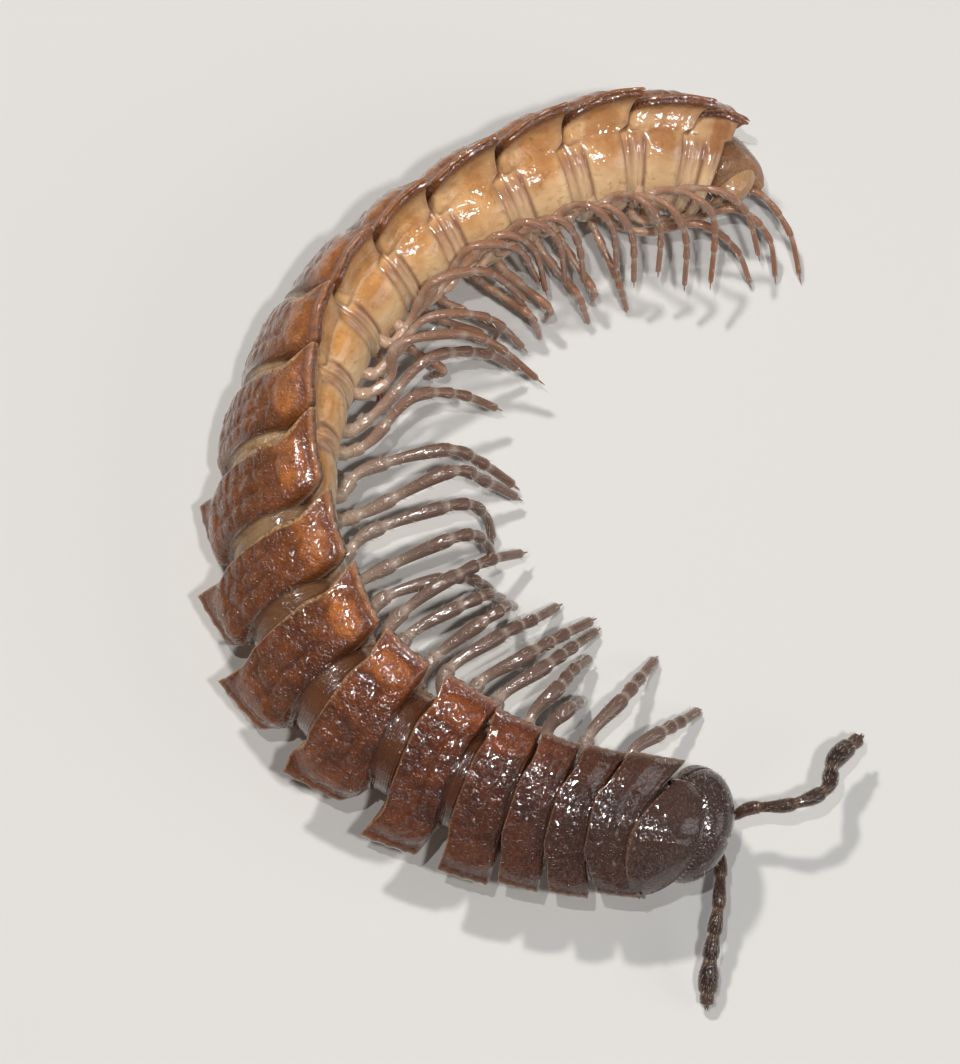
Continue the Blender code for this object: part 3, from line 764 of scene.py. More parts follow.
@dataclass(frozen=True)
class Bristles:
    """Bristles set by Geometry Nodes on a mesh's points or spread over its faces."""

    root: Root
    length: float
    thickness: float
    density: float = 0.0
    lean: float = 0.5
    sides: int = 4
    stray: float = 0.25
    shortest: float = 0.65
    longest: float = 1.2
    patch: float = 0.0015

    def tree(self) -> bpy.types.NodeTree:
        """Build the node tree with named inputs.

        Returns:
            The tree.
        """
        tree = bpy.data.node_groups.new(f"bristles_on_{self.root.value}", "GeometryNodeTree")
        for name, kind in (("Geometry", "Geometry"), ("Length", "Float"), ("Thickness", "Float"),
                           ("Density", "Float"), ("Lean", "Float"), ("Seed", "Int"),
                           ("Finish", "Material")):
            tree.interface.new_socket(name, in_out="INPUT", socket_type=f"NodeSocket{kind}")
        tree.interface.new_socket("Geometry", in_out="OUTPUT", socket_type="NodeSocketGeometry")
        add = partial(add_node, tree)
        given = add("NodeGroupInput").outputs
        seed, vectors = given["Seed"], {"data_type": "FLOAT_VECTOR"}
        if self.root is Root.SURFACE:
            spread = add("GeometryNodeDistributePointsOnFaces", {"distribute_method": "RANDOM"},
                         {"Mesh": given["Geometry"], "Density": given["Density"], "Seed": seed})
            points, normal = spread.outputs["Points"], spread.outputs["Normal"]
        else:
            points = add("GeometryNodeMeshToPoints", {}, {"Mesh": given["Geometry"]}).outputs[0]
            normal = add("GeometryNodeInputNamedAttribute", vectors, {"Name": "out"}).outputs[0]
        lie = add("GeometryNodeInputNamedAttribute", vectors, {"Name": "lie"}).outputs[0]
        leaned = add("ShaderNodeVectorMath", {"operation": "SCALE"}, {0: lie, "Scale": given["Lean"]})
        stray = add("FunctionNodeRandomValue", vectors,
                    {0: (-self.stray,) * 3, 1: (self.stray,) * 3, "Seed": seed})
        aim = add("ShaderNodeVectorMath", {"operation": "ADD"}, {0: normal, 1: leaned.outputs[0]})
        aim = add("ShaderNodeVectorMath", {"operation": "ADD"}, {0: aim.outputs[0], 1: stray.outputs[0]})
        turn = add("FunctionNodeAlignRotationToVector", {"axis": "Z"}, {"Vector": aim.outputs[0]})
        cone = add("GeometryNodeMeshCone", {"fill_type": "NGON"},
                   {"Vertices": self.sides, "Radius Top": 0.0, "Radius Bottom": given["Thickness"],
                    "Depth": given["Length"]})
        size = add("FunctionNodeRandomValue", {"data_type": "FLOAT"},
                   {2: self.shortest, 3: self.longest, "Seed": seed})
        grown = add("GeometryNodeInstanceOnPoints", {}, {
            "Points": points, "Instance": cone.outputs["Mesh"], "Rotation": turn.outputs[0],
            "Scale": size.outputs[1]})
        real = add("GeometryNodeRealizeInstances", {}, {"Geometry": grown.outputs[0]})
        done = add("GeometryNodeSetMaterial", {},
                   {"Geometry": real.outputs[0], "Material": given["Finish"]})
        add("NodeGroupOutput", {}, {"Geometry": done.outputs[0]})
        return tree

    def grow(self, name: str, base: bpy.types.Object, seed: int, look: bpy.types.Material,
             skin: bpy.types.Object | None = None) -> bpy.types.Object:
        """Grow the bristles of one base mesh as a plain mesh object.

        Args:
            name: The new object's name.
            base: The mesh they grow on, with a "lie" vector at its points.
            seed: The seed of what is random.
            look: Their material.
            skin: The skin whose unwrap their bake map follows, if it isn't the base.

        Returns:
            The bristles as an object at the origin.
        """
        tree = self.tree()
        host = bpy.data.objects.new(name + "_host", base.data.copy())
        bpy.context.scene.collection.objects.link(host)
        modifier = host.modifiers.new("bristles", "NODES")
        modifier.node_group = tree
        values = {"Length": self.length * MM, "Thickness": self.thickness * MM,
                  "Density": self.density / MM ** 2, "Lean": self.lean, "Seed": seed, "Finish": look}
        for item in tree.interface.items_tree:
            if item.item_type == "SOCKET" and item.in_out == "INPUT" and item.name in values:
                modifier[item.identifier] = values[item.name]
        bpy.context.view_layer.update()
        shown = host.evaluated_get(bpy.context.evaluated_depsgraph_get())
        mesh = bpy.data.meshes.new_from_object(shown)
        bpy.data.objects.remove(host)
        bpy.data.node_groups.remove(tree)
        mesh.name = name
        co = np.empty(len(mesh.vertices) * 3, np.float32)
        mesh.vertices.foreach_get("co", co)
        co[2::3] = np.maximum(co[2::3], 0.0)
        mesh.vertices.foreach_set("co", co)
        self._lay_bake_map(mesh, co.reshape(-1, self.sides + 1, 3), skin or base)
        obj = bpy.data.objects.new(name, mesh)
        bpy.context.scene.collection.objects.link(obj)
        return obj

    def _lay_bake_map(self, mesh: bpy.types.Mesh, tufts: Array, skin: bpy.types.Object) -> None:
        """Lay each bristle as a small patch at its root's place on the skin's own unwrap.

        Args:
            mesh: The bristles' mesh.
            tufts: Its points as bristles x points x 3, one of them the bristle's tip.
            skin: The skin, with its unwrap at its points.
        """
        away = np.linalg.norm(tufts - tufts.mean(1, keepdims=True), axis=-1)
        tips = tufts[np.arange(len(tufts)), away.argmax(1)]
        roots = (tufts.sum(1) - tips) / (tufts.shape[1] - 1)
        finder = KDTree(len(skin.data.vertices))
        for k, vertex in enumerate(skin.data.vertices):
            finder.insert(vertex.co, k)
        finder.balance()
        flat = np.empty(len(skin.data.vertices) * 3, np.float32)
        skin.data.attributes["unwrap"].data.foreach_get("vector", flat)
        nearest = [finder.find(root)[1] for root in roots]
        places = flat.reshape(-1, 3)[nearest, :2].clip(0.002, 0.998)
        turn = 2 * math.pi * np.arange(tufts.shape[1]) / tufts.shape[1]
        corner = np.stack([np.cos(turn), np.sin(turn)], -1) * self.patch
        spots = (places[:, None] + corner[None]).reshape(-1, 2)
        corners = np.empty(len(mesh.loops), np.int32)
        mesh.loops.foreach_get("vertex_index", corners)
        layer = mesh.uv_layers.new(name="OFBake")
        layer.data.foreach_set("uv", spots[corners].astype(np.float32).ravel())


def set_vectors(obj: bpy.types.Object, name: str, vectors: Array) -> None:
    """Store a vector at each point of a mesh."""
    layer = obj.data.attributes.new(name, "FLOAT_VECTOR", "POINT")
    layer.data.foreach_set("vector", vectors.astype(np.float32).ravel())


def points_object(name: str, places: Array, out: Array, lie: Array) -> bpy.types.Object:
    """Make a mesh of loose points.

    Args:
        name: The object's name.
        places: The points in mm.
        out: The way out of the skin at each.
        lie: The way along the skin at each.

    Returns:
        The object, which isn't linked to the scene.
    """
    mesh = bpy.data.meshes.new(name)
    mesh.vertices.add(len(places))
    mesh.vertices.foreach_set("co", (places * MM).astype(np.float32).ravel())
    obj = bpy.data.objects.new(name, mesh)
    set_vectors(obj, "out", out)
    set_vectors(obj, "lie", lie)
    return obj


def dress(obj: bpy.types.Object, look: bpy.types.Material, slot: str, *nodes: str) -> None:
    """Give a piece its material and body.

    Args:
        obj: The piece.
        look: Its material.
        slot: Not used.
        nodes: The frame's nodes that it stands for, if it is a main piece.
    """
    obj.data.materials.clear()
    obj.data.materials.append(look)
    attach(obj, "root")
    if nodes:
        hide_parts(*nodes)
    LOG.info("%s: %d faces", obj.name, len(obj.data.polygons))


@dataclass(frozen=True)
class Section:
    """The columns of a ring's cross-section, right edge first, over the back and round below."""

    plan: BodyPlan
    top_columns: int = 101
    edge_columns: int = 7
    under_columns: int = 9
    flank_columns: int = 44
    arch_power: float = 2.2
    shoulder: float = 34.7
    crowding: float = 0.12
    root_gap: float = 0.02
    root_spread: float = 0.08
    under_start: float = 0.12
    under_power: float = 2.2

    @property
    def middle(self) -> float:
        """Height of the trunk ellipse's middle."""
        return 0.5 * (self.plan.trunk_top + self.plan.trunk_bottom)

    @property
    def half_height(self) -> float:
        """Half height of the trunk ellipse."""
        return 0.5 * (self.plan.trunk_top - self.plan.trunk_bottom)

    def columns(self) -> Array:
        """Lay out the columns.

        Returns:
            Place across of each: -1 to 1 over the back, further out below the edges, 0 on the flank.
        """
        x = np.linspace(-1.0, 1.0, self.top_columns)
        x = x * (1.0 + self.crowding * (1.0 - x * x))
        return np.concatenate([x, self._side(), np.zeros(self.flank_columns), -self._side()[::-1]])

    def _side(self) -> Array:
        """Markers above 1 for the columns of one edge and the underside of its plate."""
        return 1.0 + np.linspace(0.02, 1.0, self.edge_columns + self.under_columns)

    def angles(self) -> Array:
        """Work out where round the trunk ellipse the columns lie.

        Returns:
            The angle of each column in radians.
        """
        x = self.columns()[:self.top_columns]
        limit = math.cos(math.radians(self.shoulder))
        back = np.arccos(x * limit)
        side = np.radians(np.linspace(self.shoulder - 2.0, 6.0, len(self._side())))
        below = np.radians(np.linspace(1.0, -181.0, self.flank_columns))
        return np.concatenate([back, side, below, math.pi - side[::-1]])

    def tube(self, scale: Array) -> tuple[Array, Array]:
        """The bare trunk, scaled per row.

        Args:
            scale: One scale for each row.

        Returns:
            Distances to the left and towards the back, rows x columns.
        """
        a = self.angles()[None, :]
        scale = scale[:, None]
        return (self.plan.trunk_half_width * scale * np.cos(a),
                self.middle + self.half_height * scale * np.sin(a))

    def plates(self, width: Array, top: Array, edge: Array, thick: Array) -> tuple[Array, Array]:
        """The trunk with side plates.

        Args:
            width: Half width at each row, right and left.
            top: Height of the back at each row.
            edge: Height of the plates' edge at each row.
            thick: Thickness of that edge at each row.

        Returns:
            Distances to the left and towards the back, rows x columns.
        """
        right, left = width[:, :1], width[:, 1:]
        top, edge, thick = (k[:, None] for k in (top, edge, thick))
        x = self.columns()[None, :self.top_columns]
        v_top = np.where(x < 0, right, left) * x
        w_top = edge + (top - edge) * (1.0 - np.abs(x) ** self.arch_power)
        v_flank, w_flank = self.tube(np.ones(len(width)))
        first = self.top_columns + self.edge_columns + self.under_columns
        v_flank, w_flank = (k[:, first:first + self.flank_columns] for k in (v_flank, w_flank))
        v_left, w_side = self._plate_side(left, edge, thick)
        v_right, _ = self._plate_side(right, edge, thick)
        return (np.concatenate([v_top, v_left, v_flank, -v_right[:, ::-1]], 1),
                np.concatenate([w_top, w_side, w_flank, w_side[:, ::-1]], 1))

    def _plate_side(self, width: Array, edge: Array, thick: Array) -> tuple[Array, Array]:
        """The rounded edge of a side plate and its underside as far as the trunk.

        Args:
            width: Half width at each row.
            edge: Height of the edge at each row.
            thick: Thickness of the edge at each row.

        Returns:
            Distances across and towards the back, rows x columns.
        """
        plan = self.plan
        phi = np.linspace(math.pi * 0.42, -math.pi * 0.5, self.edge_columns)[None, :]
        half = 0.5 * thick
        v_edge = width - half + half * np.cos(phi)
        w_edge = edge - half + half * np.sin(phi)
        beyond = np.maximum(0.0, width - plan.trunk_half_width)
        root = plan.trunk_half_width + self.root_gap + self.root_spread * beyond
        t = np.linspace(self.under_start, 1.0, self.under_columns)[None, :]
        v_under = (width - half) + (root - width + half) * t
        w_under = (edge - thick) - (plan.root_depth - thick) * t ** self.under_power
        return np.concatenate([v_edge, v_under], 1), np.concatenate([w_edge, w_under], 1)


@dataclass(frozen=True)
class RingShape:
    """Where a ring of the body lies and how its cross-section is put in place."""

    number: int
    plan: BodyPlan
    line: BodyLine
    stiff_run: float = 0.4

    @property
    def start(self) -> float:
        """Front of the ring's solid along the body."""
        return self.plan.start(self.number) + self.plan.gap / 2

    @property
    def length(self) -> float:
        """Length of the ring's solid."""
        return self.plan.ring_length[self.number - 1] - self.plan.gap

    @property
    def hind(self) -> float:
        """Length of the hind part, which carries the side plates."""
        return min(self.plan.hind_length, self.plan.hind_share * self.length)

    @property
    def front(self) -> float:
        """Length of the plain front part."""
        return self.length - self.hind

    @property
    def half_width(self) -> float:
        """Half width across the side plates."""
        return self.plan.half_width[self.number - 1]

    def swept(self, v: Array) -> Array:
        """Sweep the side plates back.

        Args:
            v: Distances to the left of the middle plane.

        Returns:
            How far back the points there are moved.
        """
        plan = self.plan
        share = ease((self.number - 4) / 3)
        start = plan.trunk_half_width - (plan.trunk_half_width - plan.sweep_start) * (1 - share)
        out = np.maximum(0.0, np.abs(v) - start) / (self.half_width - start)
        lead = np.where(v > 0, by_ring(plan.left_lead, self.number), 1.0)
        return by_ring(plan.sweep, self.number) * out ** 1.5 * lead

    def place(self, a: Array, v: Array, w: Array) -> Array:
        """Points of the ring, its outer side plate kept stiff where the body bends.

        Args:
            a: Distances from the ring's front.
            v: Distances to the left.
            w: Distances towards the back.

        Returns:
            The points.
        """
        s = self.start + a
        bent = self.line.place(s, v, w)
        middle = self.start + self.front + 0.5 * self.hind
        at = self.line.frames(middle)
        stiff = (at.middle - at.forward * (s - middle)[..., None] + at.left * v[..., None]
                 + at.dorsal * w[..., None])
        share = ease((-v - self.plan.trunk_half_width) / self.stiff_run)[..., None]
        return bent + (stiff - bent) * share


def plate_share(f: Array, start: float, run: float, level: float) -> Array:
    """How far the side plate stands out at share f of its length: a rounded shoulder in front.

    Args:
        f: Shares of the length.
        start: Share at which the plate leaves the trunk.
        run: Share over which it reaches nearly its whole width.
        level: Share of the width that it has there; the rest comes towards the hind corner.

    Returns:
        Shares of the plate's width.
    """
    f = np.asarray(f, float) - start
    turn = 0.6 * run
    rise = np.sin(math.pi / 2 * (np.clip(f, 0, run) / run) ** 0.75) * level
    return rise + (1.0 - level) * np.clip((f - turn) / (1.0 - start - turn), 0.0, 1.0) ** 1.3


def cells(a: Array, v: Array, centres: Array) -> tuple[Array, Array]:
    """Distance to the nearest centre and how much further the next one is.

    Args:
        a: Places along, in mm.
        v: Places across, in mm.
        centres: Rows of centre places.

    Returns:
        Both distances, in the shape of a.
    """
    gaps = np.hypot(a[..., None] - centres[:, 0], v[..., None] - centres[:, 1])
    two = np.sort(gaps, axis=-1)[..., :2]
    return two[..., 0], two[..., 1] - two[..., 0]


@dataclass(frozen=True)
class Ornament:
    """The raised pattern on a ring's back: three rows of low bosses, side ovals and a rim."""

    rows: tuple[tuple[float, tuple[float, ...]], ...] = (
        (0.26, (0.10, 0.33, 0.56)), (0.55, (0.12, 0.36)), (0.82, (0.09, 0.27, 0.45)),
        (0.50, (0.70,)), (0.84, (0.64,)), (0.24, (0.80,)))
    boss_height: float = 0.034
    groove: float = 0.13
    oval_at: tuple[float, float] = (0.50, 0.72)
    oval_size: tuple[float, float] = (0.56, 0.36)
    oval_height: float = 0.060
    hind_oval_at: tuple[float, float] = (0.86, 0.64)
    hind_oval_size: tuple[float, float] = (0.16, 0.24)
    rim_start: float = 0.925
    rim_height: float = 0.035
    teeth: tuple[float, ...] = (0.30, 0.56, 0.80)
    tooth_depth: float = 0.024
    tooth_width: float = 0.045
    scatter: tuple[float, float] = (0.08, 0.09)
    furrow_at: float = 0.40
    furrow_depth: float = 0.03
    slight: Rows = ((2, 0.35), (4, 0.55), (6, 1.0))

    def centres(self, hind: float, width: float, seed: int) -> Array:
        """Place the bosses, a little irregularly.

        Args:
            hind: Length of the hind part in mm.
            width: Half width in mm.
            seed: Seed of the irregularities.

        Returns:
            Rows of places along and across, in mm.
        """
        chance = random.Random(seed)
        off_along, off_across = self.scatter
        return np.array([(f * hind + chance.uniform(-off_along, off_along),
                          side * x * width + chance.uniform(-off_across, off_across))
                         for f, places in self.rows for x in places for side in (-1.0, 1.0)])

    def _oval(self, f: Array, x: Array, at: tuple, size: tuple, hind: float, width: float) -> Array:
        """A dome over an oval on each side.

        Args:
            f: Share along the hind part.
            x: Place across, from -1 to 1.
            at: The oval's middle, as f and x.
            size: Its half sizes in mm.
            hind: Length of the hind part in mm.
            width: Half width in mm.

        Returns:
            Height, 1 at most.
        """
        along = (f - at[0]) * hind / size[0]
        across = (np.abs(x) - at[1]) * width / size[1]
        return ease(1.15 * (1.0 - along ** 2 - across ** 2))

    def relief(self, f: Array, x: Array, hind: float, width: float, seed: int
               ) -> tuple[Array, Array, Array]:
        """Height of the pattern over the back.

        Args:
            f: Share along the hind part.
            x: Place across, from -1 to 1.
            hind: Length of the hind part in mm.
            width: Half width in mm.
            seed: Seed of the small irregularities.

        Returns:
            Height in mm, how much a point is on a boss, and how much on a side oval.
        """
        places = self.centres(hind, width, seed)
        a, v = f * hind, x * width
        wobble = 0.045 * np.sin(11.0 * v + seed) * np.sin(13.0 * a + 2.0 * seed)
        wobble = wobble + 0.02 * np.sin(31.0 * v)
        near, apart = cells(a + wobble, v - wobble, places)
        on = ease(apart / self.groove) * (1.0 - 0.55 * ease(near / 0.32))
        within = ease((f - 0.10) / 0.14) * ease((1.0 - f) / 0.06)
        boss = on * within * ease((self.rim_start - np.abs(x)) / 0.06)
        lobe = np.maximum(self._oval(f, x, self.oval_at, self.oval_size, hind, width),
                          0.6 * self._oval(f, x, self.hind_oval_at, self.hind_oval_size, hind, width))
        rim = ease((np.abs(x) - self.rim_start) / 0.04) * ease((f - 0.05) / 0.1)
        hind_rim = 0.5 * ease((f - 0.955) / 0.02)
        furrow = -self.furrow_depth * ridge(f, self.furrow_at, 0.03) * ease((0.55 - np.abs(x)) / 0.1)
        height = (boss * self.boss_height * (1 - 0.6 * ease((np.abs(x) - 0.52) / 0.15)) + furrow
                  + lobe * self.oval_height + np.maximum(rim, hind_rim) * self.rim_height)
        return height, boss, np.clip(np.maximum(lobe * 1.4, rim * 0.5), 0, 1)


def grid_normals(rows: Array) -> Array:
    """Work out which way a grid's points face.

    Args:
        rows: Points as rows x columns x 3; the columns wrap round.

    Returns:
        Unit normals that point outwards.
    """
    down = np.gradient(rows, axis=0)
    across = np.roll(rows, -1, axis=1) - np.roll(rows, 1, axis=1)
    normal = unit(np.cross(down, across))
    middle = rows.mean(axis=1, keepdims=True)
    return normal if np.einsum("ijk,ijk->ij", normal, rows - middle).mean() >= 0 else -normal


@dataclass
class RingShell:
    """The shell of one ring: front tube tucked into the ring ahead, waist, and plated hind part."""

    shape: RingShape
    section: Section
    ornament: Ornament
    tuck: float = 0.42
    collars: Rows = ((2, -0.14), (3, 0.0), (4, 0.0), (5, 0.02), (6, 0.08), (7, 0.24), (8, 0.28),
                     (9, 0.26), (10, 0.16), (12, 0.12), (19, 0.08))
    overlaps: Rows = ((2, 0.08), (3, 0.06), (4, 0.04), (5, -0.12), (6, -0.18), (7, -0.10), (8, -0.10),
                      (9, -0.14), (10, -0.12), (14, -0.06), (19, 0.06))
    shingle: Rows = ((2, -0.14), (3, -0.085), (5, -0.07), (7, -0.03), (19, -0.02))
    lifted: float = 0.025
    trims: Rows = ((2, 0.14), (3, 0.10), (5, 0.0), (7, 0.08), (8, 0.06), (9, 0.02), (10, -0.04), (12, 0.0))
    right_trims: Rows = ((2, -0.06), (3, 0.10), (4, 0.15), (5, 0.20), (6, 0.13), (7, -0.18), (8, -0.10),
                         (9, -0.24), (10, -0.36), (11, -0.42), (12, -0.36), (13, -0.20), (14, -0.05),
                         (19, 0.0))
    leads: Rows = ((2, -0.08), (4, 0.0), (5, 0.05), (6, 0.26), (7, 0.20), (8, 0.11), (9, 0.08),
                   (10, -0.08), (12, 0.0))
    right_leads: Rows = ((2, 0.15), (3, 0.02), (5, 0.06), (6, -0.14), (7, -0.34), (8, -0.08), (10, 0.05),
                         (12, 0.0))
    fore: Rows = ((2, 0.22), (3, 0.18), (4, 0.15), (5, 0.20), (6, 0.28), (8, 0.28), (10, 0.14),
                  (12, 0.06), (19, 0.0))
    right_fore: Rows = ((2, 0.05), (4, 0.08), (5, 0.15), (7, 0.25), (9, 0.20), (12, 0.08), (19, 0.0))
    droops: Rows = ((2, 0.18), (4, 0.07))
    front_rows: int = 11
    hind_rows: int = 46
    horn: Rows = ((2, 0.0), (4, 0.02), (6, 0.04), (8, 0.09), (10, 0.12), (13, 0.16), (18, 0.16),
                  (19, 0.10))
    right_shoulder: Rows = ((6, 0.0), (8, 0.04), (11, 0.05), (18, 0.03))
    shoulder_run: Rows = ((2, 0.10), (4, 0.11), (7, 0.16), (18, 0.20))
    shoulder_level: Rows = ((2, 0.92), (5, 0.88), (8, 0.84), (13, 0.84), (18, 0.86))
    pale_margin: Rows = ((4, 0.0), (8, 0.04), (12, 0.08))
    neck_length: float = 0.40
    neck_bulge: float = 0.035
    flank_bulge: float = 0.06
    wrinkle_height: float = 0.012
    wrinkle_pitch: float = 0.13
    groove_depth: float = 0.035
    groove_width: float = 0.035
    tucked_narrowing: float = 0.14
    waist: float = 0.03
    lip: Rows = ((0.015, 0.012), (0.015, 0.035), (-0.02, 0.060), (-0.25, 0.10))
    bristle_places: list = field(default_factory=list)

    @property
    def collar_length(self) -> float:
        """Distance from the ring's front at which its raised, plated part begins."""
        return by_ring(self.collars, self.shape.number)

    @property
    def plated(self) -> float:
        """Length of the part that carries the plates, as far as its hind margin."""
        overlap = by_ring(self.overlaps, self.shape.number)
        return self.shape.length - self.collar_length + self.shape.plan.gap / 2 + overlap

    def _grid(self) -> tuple[Array, ...]:
        """Rows along the ring.

        Returns:
            Distance from the ring's front, share of the hind part, and tube scale of each row.
        """
        plan = self.shape.plan
        front = np.linspace(-self.tuck, self.collar_length - 0.02, self.front_rows)
        scale = plan.prozonite_scale - self.tucked_narrowing * ease((-front - 0.14) / (self.tuck - 0.14))
        scale = scale - self.waist * ease((front - self.collar_length + 0.10) / 0.08)
        share = np.linspace(0.0, 1.0, self.hind_rows) ** 1.15
        hind = self.collar_length + share * self.plated
        a = np.concatenate([front, hind])
        f = np.concatenate([np.full(len(front), -1.0), share])
        return a, f, np.concatenate([scale, np.ones(len(hind))])

    def build(self, name: str) -> bpy.types.Object:
        """Make the shell's mesh with its named values.

        Args:
            name: The object's name.

        Returns:
            The object.
        """
        shape, plan, section = self.shape, self.shape.plan, self.section
        read = partial(by_ring, number=shape.number)
        a, f, scale = self._grid()
        in_hind = f >= 0
        share = np.where(in_hind, np.clip(f, 0, 1), 0.0)
        slight = read(self.ornament.slight)
        sunk = read(self.shingle)
        tilt = sunk + (self.lifted - sunk) * ease(share / 0.8)
        edge = plan.edge_height + tilt - read(self.droops) * (1.0 - ease(share / 0.6))
        plate_v, plate_w = section.plates(self._width(share, slight), plan.trunk_top + 0.01 + tilt, edge,
                                          np.full(len(a), plan.edge_thickness))
        tube_v, tube_w = section.tube(scale)
        grown = np.where(in_hind, ease(share / 0.07), 0.0)[:, None]
        v, w = tube_v + (plate_v - tube_v) * grown, tube_w + (plate_w - tube_w) * grown
        columns = section.columns()
        x = np.clip(columns, -1.0, 1.0)
        out = np.maximum(0.0, np.abs(v) / shape.half_width - 0.45) / 0.55
        wing = np.clip(np.abs(v) / shape.half_width - 0.2, 0.0, 1.0) / 0.8
        lead = np.where(v > 0, read(self.leads), read(self.right_leads))
        fore = np.where(v > 0, read(self.fore), read(self.right_fore))
        along = a[:, None] + shape.swept(v) + self._hind_edge(share, columns) - lead * out ** 1.3
        along = along - fore * wing * (in_hind * (1 - share))[:, None]
        rows = shape.place(along, v, w)
        normal = grid_normals(rows)
        height, boss, lobe = self.ornament.relief(share[:, None], x[None, :], self.plated, shape.half_width,
                                                  self.seed)
        over_back = np.arange(len(columns)) < section.top_columns
        height = height * over_back[None, :] * in_hind[:, None] * slight
        height = height + self._flank_relief(a)[:, None] * self._below_plates()[None, :]
        rows = self._with_lip(rows + normal * height[..., None], normal)
        self._note_bristles(rows, share)
        skin = Skin()
        skin.add_rows(rows, self._values(share, in_hind, boss, lobe, over_back))
        return skin.build(name)

    @property
    def seed(self) -> int:
        """The seed of the pattern's irregularities."""
        return 100 + self.shape.number

    def _width(self, share: Array, slight: float) -> Array:
        """Half width of the plated part: shoulders, widest behind, teeth along the edge.

        Args:
            share: Share of the hind part at each row.
            slight: How strong the pattern is on this ring.

        Returns:
            Half width at each row, right and left.
        """
        read = partial(by_ring, number=self.shape.number)
        low = self.shape.plan.trunk_half_width * math.cos(math.radians(self.section.shoulder))
        run, level = read(self.shoulder_run), read(self.shoulder_level)
        rise = np.stack([plate_share(share, read(self.right_shoulder), run, 0.5 + 0.5 * level),
                         plate_share(share, 0.0, run, level)], -1)
        half = self.shape.half_width + np.array([read(self.right_trims), read(self.trims)])
        teeth = sum(ridge(share, t, self.ornament.tooth_width) for t in self.ornament.teeth)
        notch = self.ornament.tooth_depth * ease((share - 0.1) / 0.1) * (1 - np.clip(teeth, 0, 1))
        return low + rise * (half - low) - slight * notch[:, None]

    def _hind_edge(self, share: Array, columns: Array) -> Array:
        """How far back the hind margin is drawn: out to the corners, and hollow between.

        Args:
            share: Share of the hind part at each row.
            columns: Place across of each column.

        Returns:
            Distances back, rows x columns.
        """
        horn = by_ring(self.horn, self.shape.number)
        x = np.clip(np.abs(columns), 0.0, 1.0)
        at_edge = ease((np.abs(columns) - 0.62) / 0.38) * (columns != 0)
        back = horn * at_edge[None, :] * ease((share - 0.55) / 0.45)[:, None] ** 1.5
        hollow = (ease((x - 0.35) / 0.3) * (1 - at_edge))[None, :] * ease((share - 0.6) / 0.4)[:, None]
        return back - (0.05 + 0.3 * horn) * hollow

    def _flank_relief(self, a: Array) -> Array:
        """Height of the flank along the ring: a rounded neck, a groove, and a bulging hind part.

        Args:
            a: Distance of each row from the ring's front.

        Returns:
            The height of each row.
        """
        neck = self.neck_bulge * np.sin(math.pi * np.clip(a / self.neck_length, 0, 1))
        rest = (a - self.neck_length) / (self.shape.length + 0.1 - self.neck_length)
        body = self.flank_bulge * np.sin(math.pi * np.clip(rest, 0, 1)) ** 0.7
        wave = np.sin(2 * math.pi * a / self.wrinkle_pitch)
        wrinkle = self.wrinkle_height * wave * (a < self.neck_length)
        return neck + wrinkle + body - self.groove_depth * ridge(a, self.neck_length, self.groove_width)

    def _below_plates(self) -> Array:
        """Work out how far each column lies below the side plates.

        Returns:
            Shares, from 0 at the plates' roots to 1 on the flank.
        """
        columns, height = self.section.columns(), np.sin(self.section.angles())
        low = (columns == 0) & (np.arange(len(columns)) >= self.section.top_columns)
        return ease((height[low].max() - height) / 0.30) * low

    def _belly(self) -> Array:
        """How low on the trunk each column lies, from 0 on the back to 1 below."""
        low = ease((-np.sin(self.section.angles()) - 0.25) / 0.6)
        return low * (np.arange(len(low)) >= self.section.top_columns)

    def _with_lip(self, rows: Array, normal: Array) -> Array:
        """Add rows that round the hind margin and turn into the ring.

        Args:
            rows: The shell's rows of points.
            normal: Their normals.

        Returns:
            The rows with the lip's.
        """
        last, before = rows[-1], rows[-2]
        back = unit(last - before)
        columns = self.section.columns()
        on_plate = ease((np.abs(columns) - 0.35) / 0.3) * (columns != 0)
        inside = -normal[-1] * (1.0 - 0.5 * on_plate)[:, None]
        reach = (1.0 - 0.8 * on_plate)[:, None]
        lip = [last + inside * deep + back * behind for behind, deep in self.lip[:-1]]
        behind, deep = self.lip[-1]
        end = last + inside * deep + back * behind * reach
        inner = end + (last.mean(0) - end) * (0.12 * (1.0 - 0.9 * on_plate))[:, None]
        return np.concatenate([rows, np.stack([*lip, end, inner])])

